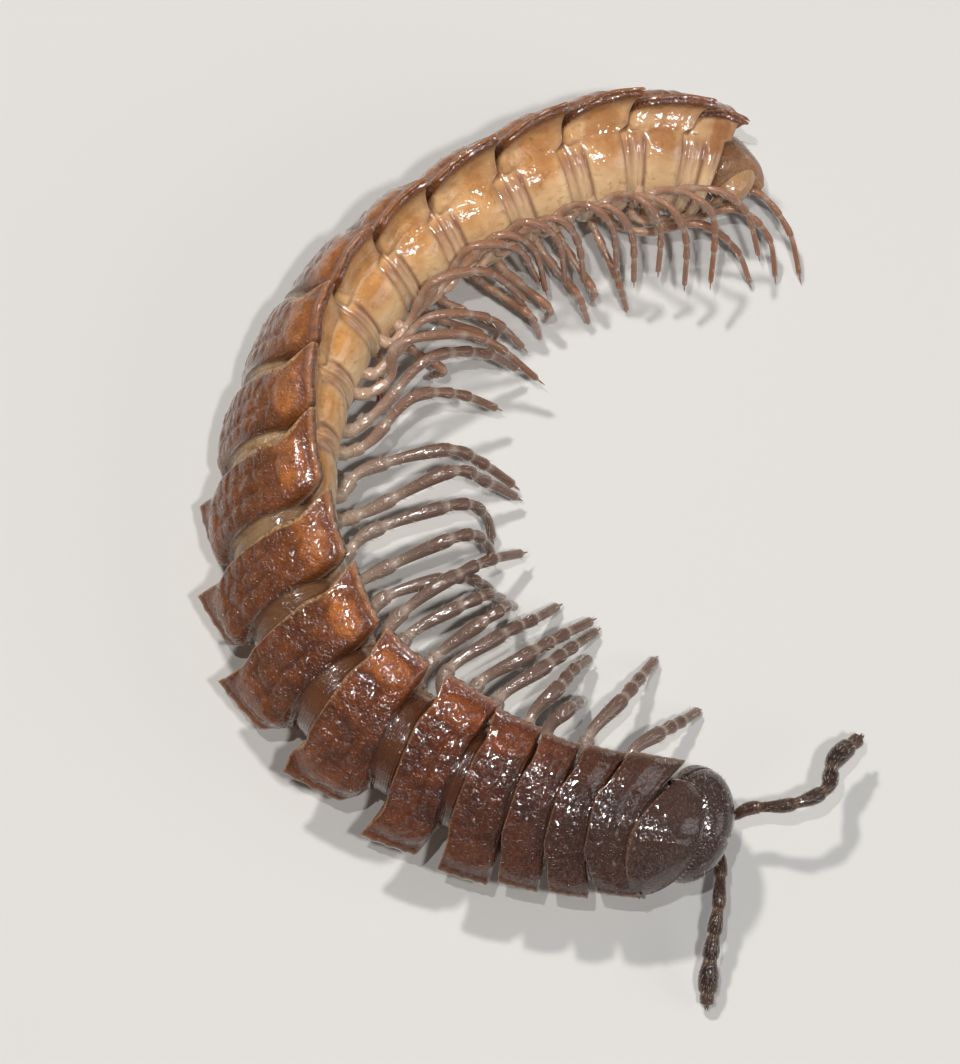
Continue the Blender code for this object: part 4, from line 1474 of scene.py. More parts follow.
    def _values(self, share: Array, in_hind: Array, boss: Array, lobe: Array, over_back: Array
                ) -> dict[str, Array]:
        """Name what the shell's material reads at the grid's points.

        Args:
            share: Share of the hind part at each row.
            in_hind: Whether each row is in it.
            boss: How much each point is on a boss.
            lobe: How much it is on a side oval.
            over_back: Whether each column is on the back.

        Returns:
            The values, rows x columns.
        """
        number, neck = self.shape.number, self.neck_length
        columns, a = self.section.columns(), self._grid()[0]
        hind, share = in_hind[:, None].astype(float), share[:, None]
        low = ((columns == 0) & ~over_back)[None, :]
        fade = self._below_plates()[None, :]
        below = np.where(over_back, 0.0, ease((np.abs(columns) - 1.35) / 0.4) + (columns == 0))
        on_neck = 1.0 - ease((a - neck) / 0.03)[:, None]
        wide = 0.006 + by_ring(self.pale_margin, number) * (
            ease((columns + 0.1) / 0.5) * ease((0.95 - columns) / 0.2))
        suture = ridge(a, neck, 0.04)[:, None] * fade
        fold = np.where(a < neck, (a + 0.16) / (neck + 0.16), 1.0 + (a - neck) / (a[-1] - neck))
        return {
            "rim": ridge(np.abs(columns), 1.06, 0.07) * hind,
            "belly": self._belly()[None, :],
            "across": np.where(over_back, columns, 0.0)[None, :],
            "share": share * hind,
            "boss": boss * over_back * hind,
            "lobe": lobe * over_back * hind,
            "flank": np.clip(below, 0, 1)[None, :],
            "collar": np.where(low, on_neck * fade, 1.0 - hind * ease((share + 0.02) / 0.05)),
            "margin": ease((share - 1.0 + wide + 0.015) / 0.02) * hind,
            "fold": fold[:, None],
            # Where painted shade goes: the crease at the plate's front and the groove behind the flank's
            # neck.
            "crease_shade": np.maximum(hind * ridge(share, 0.0, 0.035) * ~low, suture),
            "along": (number + np.where(hind > 0, share, -0.2) - 1.0) / self.shape.plan.parts_of_length}

    def _note_bristles(self, rows: Array, share: Array) -> None:
        """Keep where the bristles of the bosses and of the edge teeth stand.

        Args:
            rows: The shell's rows of points.
            share: Share of the hind part at each row before the lip.
        """
        width, top = self.shape.half_width, self.section.top_columns
        columns = self.section.columns()
        normal = grid_normals(rows[:len(share)])
        lie = unit(np.gradient(rows[:len(share)], axis=0))
        ahead = 9.0 * (np.arange(len(share)) < self.front_rows)
        spots = [(along / self.plated, np.argmin(np.abs(columns[:top] - across / width)))
                 for along, across in self.ornament.centres(self.plated, width, self.seed)]
        spots += [(t, column) for t in (*self.ornament.teeth, 0.985)
                  for column in (top + 2, len(columns) - 3)]
        for place, column in spots:
            row = np.argmin(np.abs(share - place) + ahead)
            self.bristle_places.append((rows[row, column], normal[row, column], lie[row, column]))


@dataclass(frozen=True)
class LimbShape:
    """Half thickness of a jointed limb: a swollen sleeve for each article, pinched at its joints.

    A row of articles is: share at which it begins, half thickness at its base, its fullest half
    thickness and where that lies in the article.
    """

    articles: tuple[tuple[float, float, float, float], ...]
    tip: float = 0.02
    pinch: float = 0.72
    rows_each: int = 11
    narrowing: float = 0.22
    end_taper: float = 0.75
    joint_run: float = 0.10

    def stations(self) -> tuple[Array, Array, Array]:
        """Rows along the limb.

        Returns:
            Share of the length, half thickness and how near a joint lies.
        """
        shares, radii, joints = [], [], []
        ends = [row[0] for row in self.articles[1:]] + [1.0]
        for (start, base, full, place), end in zip(self.articles, ends):
            t = np.linspace(0.0, 1.0, self.rows_each)[:-1]
            fall = self.narrowing * ease((t - place) / (1 - place))
            swell = np.where(t < place, ease(t / place), 1 - fall)
            shares.append(start + t * (end - start))
            radii.append(base * self.pinch + (full - base * self.pinch) * swell)
            joints.append(ridge(t, 0.0, self.joint_run))
        radii[-1] = radii[-1] * (1.0 - self.end_taper * t ** 1.5)
        return (np.concatenate([*shares, [1.0]]), np.concatenate([*radii, [self.tip]]),
                np.concatenate([*joints, [0.0]]))


WALKING = LimbShape(((0.00, 0.22, 0.21, 0.5), (0.10, 0.18, 0.18, 0.5), (0.17, 0.150, 0.180, 0.82),
                     (0.33, 0.140, 0.170, 0.86), (0.60, 0.138, 0.155, 0.82), (0.69, 0.132, 0.145, 0.82),
                     (0.79, 0.118, 0.112, 0.25), (0.965, 0.035, 0.03, 0.2)), 0.006, 0.88)
FEELER = LimbShape(((0.00, 0.15, 0.15, 0.5), (0.09, 0.12, 0.140, 0.7), (0.25, 0.115, 0.145, 0.75),
                    (0.43, 0.125, 0.160, 0.7), (0.58, 0.135, 0.175, 0.7), (0.72, 0.155, 0.210, 0.55),
                    (0.92, 0.16, 0.15, 0.4), (0.98, 0.09, 0.08, 0.5)), 0.055, 0.9)


def limb_rows(points: Array, shape: LimbShape, stout: float = 1.0, sides: int = 14
              ) -> tuple[Array, Array, Array]:
    """Rows of points round a limb along a smooth curve.

    Args:
        points: Knots of its middle line in mm.
        shape: Its thickness.
        stout: A factor on the thickness.
        sides: Points round it.

    Returns:
        The rows, the share along and the joint mask of each row.
    """
    route = catmull_rom(points, 200)
    run = np.concatenate([[0.0], np.cumsum(np.linalg.norm(np.diff(route, axis=0), axis=1))])
    shares, radii, joints = shape.stations()
    middle = np.stack([np.interp(shares * run[-1], run, route[:, k]) for k in range(3)], -1)
    tangent = unit(np.gradient(middle, axis=0))
    side = unit(np.cross(tangent, UP) + 1e-6)
    other = np.cross(tangent, side)
    angle = np.linspace(0.0, 2 * math.pi, sides, endpoint=False)
    cos, sin = np.cos(angle)[:, None], np.sin(angle)[:, None]
    ring = side[:, None] * cos + other[:, None] * sin
    return middle[:, None] + ring * (radii * stout)[:, None, None], shares, joints


# Where each left leg comes out from under the body, its knee, the middle of its shin and its tip,
# in mm, by ring and pair.
LEFT_LEGS: dict[tuple[int, int], Rows] = {
    (2, 0): ((2.14, -4.24, 1.25), (2.70, -3.80, 1.05), (3.16, -3.44, 0.60), (3.58, -3.06, 0.08)),
    (3, 0): ((1.26, -3.96, 1.30), (1.95, -3.14, 1.15), (2.34, -2.54, 0.65), (2.71, -1.95, 0.08)),
    (4, 0): ((0.46, -3.83, 1.35), (0.84, -3.46, 1.50), (1.05, -3.14, 0.90), (1.19, -2.87, 0.08)),
    (5, 0): ((0.13, -3.53, 1.35), (0.62, -3.02, 1.45), (0.99, -2.47, 0.95), (1.37, -2.03, 0.30)),
    (5, 1): ((-0.55, -3.24, 1.35), (0.41, -2.50, 1.30), (0.98, -1.94, 0.75), (1.56, -1.37, 0.08)),
    (6, 0): ((-0.97, -2.93, 1.35), (-0.01, -2.36, 1.55), (0.77, -1.79, 1.10), (1.47, -1.25, 0.40)),
    (6, 1): ((-1.57, -2.66, 1.35), (-0.49, -1.86, 1.30), (0.16, -1.40, 0.80), (0.79, -0.86, 0.08)),
    (7, 0): ((-1.83, -2.35, 1.35), (-0.55, -1.45, 1.60), (-0.33, -1.16, 1.00), (-0.16, -0.99, 0.30)),
    (7, 1): ((-2.33, -1.88, 1.35), (-0.93, -1.09, 1.35), (-0.63, -0.89, 0.80), (-0.38, -0.78, 0.08)),
    (8, 0): ((-2.57, -1.54, 1.40), (-1.67, -0.88, 1.65), (-0.75, -0.32, 1.35), (0.08, 0.11, 0.50)),
    (8, 1): ((-2.81, -1.10, 1.40), (-1.49, -0.67, 1.35), (-0.85, -0.64, 0.80), (-0.55, -0.74, 0.08)),
    (9, 0): ((-2.98, -0.58, 1.40), (-1.35, 0.07, 1.75), (-0.81, 0.17, 1.10), (-0.59, -0.13, 0.30)),
    (9, 1): ((-3.12, 0.24, 1.45), (-1.39, 0.81, 1.50), (-0.81, 0.79, 0.90), (-0.61, 0.38, 0.08)),
    (10, 0): ((-3.10, 0.70, 1.50), (-1.49, 1.40, 1.85), (-0.75, 1.38, 1.20), (-0.02, 1.23, 0.35)),
    (10, 1): ((-3.20, 1.53, 1.55), (-1.61, 1.92, 1.65), (-0.89, 1.83, 1.10), (-0.08, 1.51, 0.20)),
    (11, 0): ((-3.06, 2.10, 1.75), (-2.26, 2.84, 2.20), (-1.35, 3.05, 1.80), (-0.42, 2.97, 0.90)),
    (11, 1): ((-2.80, 2.84, 1.80), (-1.96, 3.68, 2.10), (-0.93, 4.00, 1.60), (-0.01, 3.93, 0.50)),
    (12, 0): ((-2.70, 3.36, 1.90), (-2.49, 3.87, 2.60), (-0.93, 4.13, 2.20), (0.43, 3.49, 1.00)),
    (12, 1): ((-2.54, 3.88, 2.00), (-1.94, 4.47, 2.40), (-0.75, 4.60, 2.00), (0.09, 4.29, 0.70)),
    (13, 0): ((-2.26, 4.53, 2.20), (-1.85, 5.01, 3.00), (-0.77, 5.34, 2.70), (0.15, 5.16, 1.20)),
    (13, 1): ((-2.00, 4.85, 2.20), (-1.55, 5.24, 2.80), (-0.55, 5.41, 2.30), (0.13, 5.02, 0.90)),
    (14, 0): ((-1.49, 5.38, 2.40), (-1.05, 5.70, 3.20), (-0.14, 5.83, 2.70), (0.35, 5.52, 1.20)),
    (14, 1): ((-1.13, 5.65, 2.40), (-0.49, 6.02, 3.00), (0.18, 5.95, 2.40), (0.48, 5.37, 1.00)),
    (15, 0): ((-0.49, 6.05, 2.60), (0.05, 6.20, 3.30), (0.66, 6.04, 2.70), (0.86, 5.56, 1.20)),
    (15, 1): ((-0.02, 6.22, 2.60), (0.62, 6.35, 3.10), (1.07, 6.12, 2.40), (1.25, 5.53, 1.10)),
    (16, 0): ((0.76, 6.62, 2.70), (1.28, 6.56, 3.30), (1.77, 6.28, 2.70), (1.90, 5.75, 1.30)),
    (16, 1): ((1.19, 6.70, 2.70), (1.76, 6.56, 3.10), (2.18, 6.21, 2.40), (2.25, 5.53, 1.10)),
    (17, 0): ((1.84, 6.96, 2.70), (2.34, 6.68, 3.30), (2.74, 6.35, 2.60), (2.73, 5.68, 1.30)),
    (17, 1): ((2.26, 6.99, 2.60), (2.89, 6.66, 3.00), (3.27, 6.20, 2.30), (3.27, 5.45, 1.10)),
    (18, 0): ((2.81, 7.12, 2.60), (3.41, 6.80, 3.10), (3.84, 6.47, 2.50), (3.79, 5.42, 1.30)),
    (18, 1): ((3.08, 7.16, 2.50), (3.87, 7.05, 2.80), (4.50, 6.79, 2.20), (4.82, 6.06, 1.20)),
}


# The last right legs, which reach out behind under the tail, in the same way.
RIGHT_LEGS: dict[tuple[int, int], Rows] = {
    (17, 1): ((2.60, 6.70, 1.20), (3.60, 6.75, 1.55), (4.35, 6.40, 0.95), (4.70, 5.85, 0.06)),
    (18, 0): ((3.20, 6.90, 1.20), (4.30, 7.10, 1.50), (5.00, 6.70, 0.95), (5.20, 5.95, 0.06)),
    (18, 1): ((3.40, 7.10, 1.15), (4.60, 7.55, 1.40), (5.40, 6.90, 0.90), (5.72, 5.95, 0.06)),
}


@dataclass(frozen=True)
class LegPlan:
    """How the legs stand: bearings, sizes and reach by ring; the right ones fold under the body."""

    bearing: Rows = ((2, 33.0), (3, 43.0), (4, 43.0), (5, 38.5), (6, 32.0), (7, 26.0), (8, 19.0),
                     (9, 12.0), (10, 4.0), (11, -3.0), (12, -9.0), (13, -15.0), (14, -25.0),
                     (15, -38.0), (16, -53.0), (17, -66.0), (18, -62.0))
    length: float = 3.3
    size: Rows = ((2, 0.84), (5, 1.0), (15, 1.0), (18, 0.86))
    stoutness: Rows = ((5, 0.95), (10, 0.88), (12, 0.66), (14, 0.56), (18, 0.50))
    lying: tuple[float, float] = (72.0, 92.0)
    upper_share: float = 0.52
    root_side: float = 0.44
    root_sunk: float = 0.30
    hip_out: float = 1.15
    hip_below: float = 0.12
    fold_under: float = 0.25
    fold_ahead: float = 1.05
    right_reach: float = 1.35
    right_step: float = 0.20
    right_length: float = 0.74
    folded_length: float = 0.62
    knee_set: float = 0.55
    shin_bow: float = 0.04
    foot: float = 0.05

    def roots(self, shape: RingShape) -> tuple[float, ...]:
        """Distances from the ring's front at which its pairs of legs stand."""
        if shape.number < shape.plan.first_double:
            return (shape.front + 0.5 * shape.hind,)
        return (shape.length * 0.30, shape.length * 0.73)

    def knots(self, shape: RingShape, a: float, on_left: bool) -> Array:
        """Knots of one leg's middle line, from its socket to its claw.

        Args:
            shape: The ring.
            a: Distance of its socket from the ring's front.
            on_left: Whether it is a left leg.

        Returns:
            The knots in mm.
        """
        plan, number = shape.plan, shape.number
        at = shape.line.frames(shape.start + a)
        side = self.root_side if on_left else -self.root_side
        root = at.middle + at.left * side + at.dorsal * (plan.trunk_bottom + self.root_sunk)
        hip = (at.middle + at.left * (side * self.hip_out)
               + at.dorsal * (plan.trunk_bottom - self.hip_below))
        step = 1.0 if a < 0.5 * shape.length else -1.0
        pair = 0 if step > 0 or number < plan.first_double else 1
        held = (LEFT_LEGS if on_left else RIGHT_LEGS).get((number, pair))
        if held is not None:
            return np.array([root, hip, *held])
        roll = math.degrees(math.atan2(at.left[2], at.dorsal[2]))
        first, last = self.lying
        free = float(ease(2.0 * np.clip((roll - first) / (last - first), 0, 1)))
        turn = math.radians(by_ring(self.bearing, number + a / shape.length - 0.5))
        heading = np.array([math.cos(turn), math.sin(turn), 0.0])
        folded = at.forward * self.fold_ahead + at.inward * self.fold_under
        tip = hip + folded * (1 - free) + heading * ((self.right_reach + self.right_step * step) * free)
        tip[2] = self.foot
        lift = (UP * 0.6 - at.inward * 0.4) * (1 - free) + (UP + heading * 0.3) * free
        size = self.length * by_ring(self.size, number)
        share = self.folded_length + (self.right_length - self.folded_length) * free
        return self._bent(root, hip, tip, lift, size * share)

    def _bent(self, root: Array, hip: Array, tip: Array, lift: Array, size: float) -> Array:
        """Knots of a leg whose knee rises so that its length holds.

        Args:
            root: Where it starts inside the body.
            hip: Where it comes out.
            tip: Where its claw would stand.
            lift: The way its knee rises.
            size: Its length from hip to tip.

        Returns:
            The knots.
        """
        chord = tip - hip
        reach = min(float(np.linalg.norm(chord)), 0.985 * size)
        chord = unit(chord)
        tip = hip + chord * reach
        upper = self.upper_share * size
        along = (reach ** 2 + upper ** 2 - (size - upper) ** 2) / (2 * reach)
        rise = math.sqrt(max(0.0, upper ** 2 - along ** 2))
        side = unit(lift - chord * float(lift @ chord))
        knee = hip + chord * along + side * rise
        return np.array([root, hip, hip + (knee - hip) * self.knee_set, knee,
                         knee + (tip - knee) * 0.5 + side * self.shin_bow, tip])


@dataclass
class Legs:
    """The legs of one ring as one mesh."""

    shape: RingShape
    plan: LegPlan

    def build(self, name: str) -> bpy.types.Object:
        """Make all legs of the ring in one object.

        Args:
            name: The object's name.

        Returns:
            The object.
        """
        skin = Skin()
        stout = by_ring(self.plan.stoutness, self.shape.number)
        for a in self.plan.roots(self.shape):
            for on_left in (True, False):
                knots = self.plan.knots(self.shape, a, on_left)
                rows, share, joint = limb_rows(knots, WALKING, stout)
                rows[..., 2] = np.maximum(rows[..., 2], 0.0)
                skin.add_rows(rows, {"share": share[:, None], "joint": joint[:, None],
                                     "along": self.shape.number / self.shape.plan.parts_of_length})
        return skin.build(name)


@dataclass
class Collum:
    """The shield behind the head."""

    plan: BodyPlan
    line: BodyLine
    section: Section
    corner: float = 0.84
    skew: float = 0.27
    corner_length: float = 0.12
    bulge: tuple[float, float] = (0.80, 0.44)
    half_widths: tuple[float, float] = (1.29, 1.11)
    edge_height: float = 0.32
    edge_thickness: float = 0.13
    front_drop: float = 0.34
    rows: int = 46
    bosses: tuple[tuple[float, tuple[float, ...]], ...] = (
        (0.28, (0.12, 0.36)), (0.58, (0.15, 0.45, 0.80)), (0.86, (0.12, 0.36, 0.62, 0.92)))
    boss_height: float = 0.012
    rim_height: float = 0.016
    lip: Rows = ((0.02, 0.02), (-0.05, 0.10), (-0.25, 0.14))
    fringe_places: list = field(default_factory=list)

    def _along(self, f: Array, v: Array) -> Array:
        """Lay the oval shield along the body.

        Args:
            f: Share of its length.
            v: Distance to the left.

        Returns:
            Distances along the body.
        """
        half = np.where(v < 0, *self.half_widths)
        u = np.clip(np.abs(v) / half, 0.0, 1.0)
        corner = self.corner - self.skew * np.clip(v / half, -1.0, 1.0)
        front = corner - 0.5 * self.corner_length - self.bulge[0] * (1.0 - u ** 2.2) ** 0.6
        hind = corner + 0.5 * self.corner_length + self.bulge[1] * (1.0 - u ** 1.8)
        return front + (hind - front) * f

    def build(self, name: str) -> bpy.types.Object:
        """Make the shield with three rows of low bosses.

        Args:
            name: The object's name.

        Returns:
            The object.
        """
        plan, section = self.plan, self.section
        f = np.linspace(0.0, 1.0, self.rows) ** 1.3
        width = np.array(self.half_widths) * (1.0 - 0.05 * (2.0 * f - 1.0) ** 4)[:, None]
        ahead = np.maximum(0.0, 1.0 - f / 0.6)
        v, w = section.plates(width, plan.trunk_top - 0.02 - self.front_drop * ahead ** 2,
                              self.edge_height - 0.10 * ahead, np.full(len(f), self.edge_thickness))
        tube = section.tube(plan.prozonite_scale * (0.72 + 0.28 * ease(f / 0.6)))
        low = slice(section.top_columns + section.edge_columns, -section.edge_columns)
        v[:, low], w[:, low] = (k[:, low] for k in tube)
        rows = self.line.place(self._along(f[:, None], v), v, w)
        x = np.clip(section.columns(), -1, 1)
        over_back = np.arange(len(x)) < section.top_columns
        boss, near = self._bosses(f, v, over_back)
        around = np.maximum(ease((np.abs(x)[None, :] - 0.93) / 0.05), ease((0.05 - f) / 0.04)[:, None])
        rim = around * over_back
        dome = 1 - 0.5 * np.clip(near / 0.3, 0, 1) ** 2
        height = boss * self.boss_height * dome + rim * self.rim_height
        normal = grid_normals(rows)
        rows = rows + normal * height[..., None]
        for k in range(3, section.top_columns - 3, 3):
            self.fringe_places.append((rows[1, k], normal[1, k], unit(rows[0, k] - rows[3, k])))
        back, inside = unit(rows[-1] - rows[-2]), -normal[-1]
        lip = [rows[-1] + inside * deep + back * behind for behind, deep in self.lip]
        skin = Skin()
        skin.add_rows(np.concatenate([rows, np.stack(lip)]), {
            "rim": 0.0, "belly": 0.3, "across": (x * over_back)[None, :], "share": f[:, None],
            "boss": boss, "lobe": rim * 0.5, "flank": (~over_back)[None, :] * 0.8, "collar": 0.0,
            "margin": ease((f - 0.95) / 0.03)[:, None], "crease_shade": 0.0, "fold": 1.5,
            "along": f[:, None] / plan.parts_of_length})
        return skin.build(name)

    def _bosses(self, f: Array, v: Array, over_back: Array) -> tuple[Array, Array]:
        """The shield's low bosses.

        Args:
            f: Share of the length at each row.
            v: Distances to the left, rows x columns.
            over_back: Whether each column is on the back.

        Returns:
            How much each point is on a boss, and its distance from the boss's middle.
        """
        length = sum(self.bulge)
        centres = np.array([(place * length, side * out) for place, outs in self.bosses
                            for out in outs for side in (-1.0, 1.0)])
        near, apart = cells(np.broadcast_to((f * length)[:, None], v.shape), v, centres)
        fade = ease(f / 0.1) * ease((1 - f) / 0.05)
        return ease(apart / 0.25) * over_back * fade[:, None], near


@dataclass(frozen=True)
class Lobe:
    """An ellipsoid of the head: half sizes and middle, to the left, crown and face."""

    size: Triple
    at: Triple = (0.0, 0.0, 0.0)
    paired: bool = False

    def distance(self, points: Array) -> Array:
        """Measure roughly how far points are from the ellipsoid's surface.

        Args:
            points: The points.

        Returns:
            Their distances, negative inside.
        """
        if self.paired:
            points = np.concatenate([np.abs(points[..., :1]), points[..., 1:]], -1)
        size = np.array(self.size)
        near = (points - np.array(self.at)) / size
        length = np.linalg.norm(near, axis=-1)
        slope = np.linalg.norm(near / size, axis=-1) + 1e-9
        return length * (length - 1.0) / slope


@dataclass
class Head:
    """The head capsule, hanging face down in front of the collum, with its mouthparts."""

    line: BodyLine
    back: float = 0.18
    drop: float = 0.26
    pitch: float = 38.0
    yaw: float = 11.0
    aside: float = 0.21
    cranium: Lobe = Lobe((1.16, 0.95, 0.66))
    cheek: Lobe = Lobe((0.37, 0.50, 0.44), (0.80, -0.34, 0.10), True)
    clypeus: Lobe = Lobe((0.66, 0.40, 0.40), (0.0, -0.60, 0.26))
    labrum: Lobe = Lobe((0.44, 0.13, 0.24), (0.0, -0.97, 0.26))
    mandible: Lobe = Lobe((0.24, 0.40, 0.30), (0.60, -0.66, -0.06), True)
    under_lip: Lobe = Lobe((0.56, 0.44, 0.30), (0.0, -0.70, -0.26))
    brow: Lobe = Lobe((0.30, 0.30, 0.26), (0.40, 0.05, 0.48), True)
    socket: Lobe = Lobe((0.27, 0.27, 0.27), (0.42, -0.06, 0.78), True)
    melt: float = 0.05
    kernel: Triple = (0.0, -0.18, 0.06)
    search: tuple[float, float] = (1.45, 0.2)
    turns: int = 220
    bands: int = 130

    def __post_init__(self) -> None:
        """Work out the head's own directions."""
        at = self.line.frames(self.back)
        pitch, yaw = math.radians(self.pitch), math.radians(self.yaw)
        self.middle = at.middle - at.dorsal * self.drop + at.left * self.aside
        ahead = at.forward * math.cos(yaw) - at.left * math.sin(yaw)
        left = at.left * math.cos(yaw) + at.forward * math.sin(yaw)
        self.axes = np.array([left, at.dorsal * math.cos(pitch) + ahead * math.sin(pitch),
                              ahead * math.cos(pitch) - at.dorsal * math.sin(pitch)])

    def at(self, place: Array | tuple) -> Array:
        """Points from distances to the left, to the crown and out of the face."""
        return self.middle + np.asarray(place) @ self.axes

    def _depth(self, points: Array) -> Array:
        """Measure how far points are from the head's surface.

        Args:
            points: The points in the head's own directions.

        Returns:
            Their distances, negative inside.
        """
        parts = [lobe.distance(points) for lobe in (self.cranium, self.cheek, self.clypeus, self.labrum,
                                                    self.mandible, self.under_lip, self.brow)]
        soft = -self.melt * np.log(sum(np.exp(-np.clip(d / self.melt, -30, 30)) for d in parts))
        soft = np.maximum(soft, -self.socket.distance(points))
        x, y, z = (points[..., k] for k in range(3))
        groove = 0.05 * ridge(x, 0.0, 0.035) * ease(y / 0.25) * ease((z + 0.1) / 0.2)
        mouth = 0.05 * ridge(z, -0.02, 0.04) * ease((-y - 0.75) / 0.1)
        out = np.abs(x)
        jaw = 0.03 * ridge(y, 0.35 * (out - 0.6) - 0.30, 0.035) * ease((out - 0.55) / 0.1)
        return soft + groove + mouth + jaw

    def build(self, name: str) -> bpy.types.Object:
        """Make the capsule by looking in towards its middle for the surface.

        Args:
            name: The object's name.

        Returns:
            The object.
        """
        lat = np.linspace(0.02, math.pi - 0.02, self.bands)[:, None]
        lon = np.linspace(0.0, 2 * math.pi, self.turns, endpoint=False)[None]
        way = np.stack([np.cos(lat) * np.ones(self.turns), np.sin(lat) * np.cos(lon),
                        np.sin(lat) * np.sin(lon)], -1)
        start, (outer, inner) = np.array(self.kernel), self.search
        far = np.full(way.shape[:2], inner)
        reach = np.linspace(outer, inner, 150)
        found = np.zeros(way.shape[:2], bool)
        before = self._depth(start + way * reach[0])
        for k in range(1, len(reach)):
            now = self._depth(start + way * reach[k])
            hit = (now < 0) & ~found
            share = np.clip(before / np.maximum(before - now, 1e-9), 0, 1)
            far = np.where(hit, reach[k - 1] + (reach[k] - reach[k - 1]) * share, far)
            found |= hit
            before = now
        local = start + way * far[..., None]
        x, y, z = (local[..., k] for k in range(3))
        lips = ease((-z - 0.05) / 0.15) * ease((-y - 0.3) / 0.2)
        mouth = np.clip(ease((-y - 0.55) / 0.3) * 0.8 + lips, 0, 1)
        # Painted shade along the groove down the middle of the crown.
        crease_shade = ridge(x, 0.0, 0.04) * ease(y / 0.3) * ease((z + 0.1) / 0.2)
        skin = Skin()
        skin.add_rows(self.at(local), {"mouth": mouth, "crease_shade": crease_shade})
        obj = skin.build(name)
        down = unit(self.at((0.0, -1.0, 0.3)) - self.middle)
        every = np.tile(down, (len(obj.data.vertices), 1)).astype(np.float32)
        obj.data.attributes["lie"].data.foreach_set("vector", every.ravel())
        return obj


@dataclass(frozen=True)
class Feeler:
    """One feeler, from its socket through its eight articles to the cones at its tip."""

    head: Head
    places: Rows
    side: float
    socket: Triple = (0.42, -0.06, 0.66)
    cones: int = 4
    cone_length: float = 0.08
    cone_radius: float = 0.022
    cone_ring: float = 0.035

    def build(self, name: str) -> bpy.types.Object:
        """Make the feeler.

        Args:
            name: The object's name.

        Returns:
            The object.
        """
        x, y, z = self.socket
        root = self.head.at((x * self.side, y, z - 0.10))
        out = self.head.at((x * self.side, y, z + 0.30))
        centre = np.array([*self.head.line.plan.centre, 0.0])
        knots = np.array([root, out, *(np.array(p) - centre for p in self.places)])
        rows, share, joint = limb_rows(knots, FEELER, 1.0, 18)
        skin = Skin()
        skin.add_rows(rows, {"share": share[:, None], "joint": joint[:, None]})
        tip, way = rows[-1].mean(0), unit(rows[-1].mean(0) - rows[-6].mean(0))
        across = unit(np.cross(way, UP))
        other = np.cross(way, across)
        t = np.linspace(0, 1, 6)[:, None]
        angle = np.linspace(0, 2 * math.pi, 8, endpoint=False)[:, None]
        circle = across * np.cos(angle) + other * np.sin(angle)
        for k in range(self.cones):
            turn = math.pi / 2 * k + 0.6
            foot = tip + (across * math.cos(turn) + other * math.sin(turn)) * self.cone_ring - way * 0.02
            middle = foot + way * t * self.cone_length
            cone = middle[:, None] + circle[None] * (self.cone_radius * np.sqrt(1 - t * 0.96))[..., None]
            skin.add_rows(cone, {"share": 1.0, "joint": 0.0})
        return skin.build(name)


@dataclass
class Telson:
    """The last piece: a cone that ends in a short spine over two valves and a scale."""

    plan: BodyPlan
    line: BodyLine
    section: Section
    length: float = 1.12
    behind: float = 0.16
    scales: Rows = ((0.0, 0.80, 0.0), (0.18, 0.82, 0.0), (0.45, 0.62, 0.05), (0.70, 0.40, 0.12),
                    (0.86, 0.22, 0.14), (1.0, 0.09, 0.08))
    tucked: Rows = ((-0.30, 0.70, 0.0), (-0.15, 0.76, 0.0))
    narrow: float = 0.70
    flat: float = 0.78
    balls: tuple[tuple[Triple, Triple], ...] = (
        ((0.20, -0.30, 0.52), (0.26, 0.50, 0.40)), ((-0.20, -0.30, 0.52), (0.26, 0.50, 0.40)),
        ((0.0, -0.66, 0.34), (0.34, 0.30, 0.16)))

    def build(self, name: str) -> bpy.types.Object:
        """Make the cone, the valves and the scale in one mesh.

        Args:
            name: The object's name.

        Returns:
            The object.
        """
        start = self.plan.length + self.behind
        f, scale, lift = np.vstack([self.tucked, catmull_rom(self.scales, 40)]).T
        v, w = self.section.tube(scale)
        s = (start + f * self.length)[:, None] * np.ones(v.shape)
        rows = self.line.place(s, v * self.narrow, w * self.flat + lift[:, None])
        skin = Skin()
        rest = {"rim": 0.0, "belly": 0.4, "across": 0.0, "share": 0.5, "boss": 0.8, "lobe": 0.8,
                "collar": 0.0, "crease_shade": 0.0, "along": 0.90, "margin": 0.0, "fold": 1.5}
        below = np.arange(v.shape[1]) >= self.section.top_columns
        skin.add_rows(rows, {**rest, "flank": 0.32 * below[None, :]})
        for place, size in self.balls:
            skin.add_rows(self._ball(start, place, size), {**rest, "flank": 0.7})
        return skin.build(name)

    def _ball(self, start: float, place: Triple, size: Triple) -> Array:
        """Rows of an ellipsoid.

        Args:
            start: Where the telson begins along the body.
            place: The ellipsoid's middle, to the left, towards the back and behind the start.
            size: Its half sizes in the same directions.

        Returns:
            The rows of points.
        """
        at = self.line.frames(start + place[2])
        centre = at.middle + at.left * place[0] + at.dorsal * place[1]
        lat = np.linspace(0.05, math.pi - 0.05, 24)[:, None, None]
        lon = np.linspace(0, 2 * math.pi, 32, endpoint=False)[:, None]
        return centre + (at.dorsal * np.cos(lat) * size[1] + at.left * (np.sin(lat) * np.cos(lon)) * size[0]
                         - at.forward * (np.sin(lat) * np.sin(lon)) * size[2])


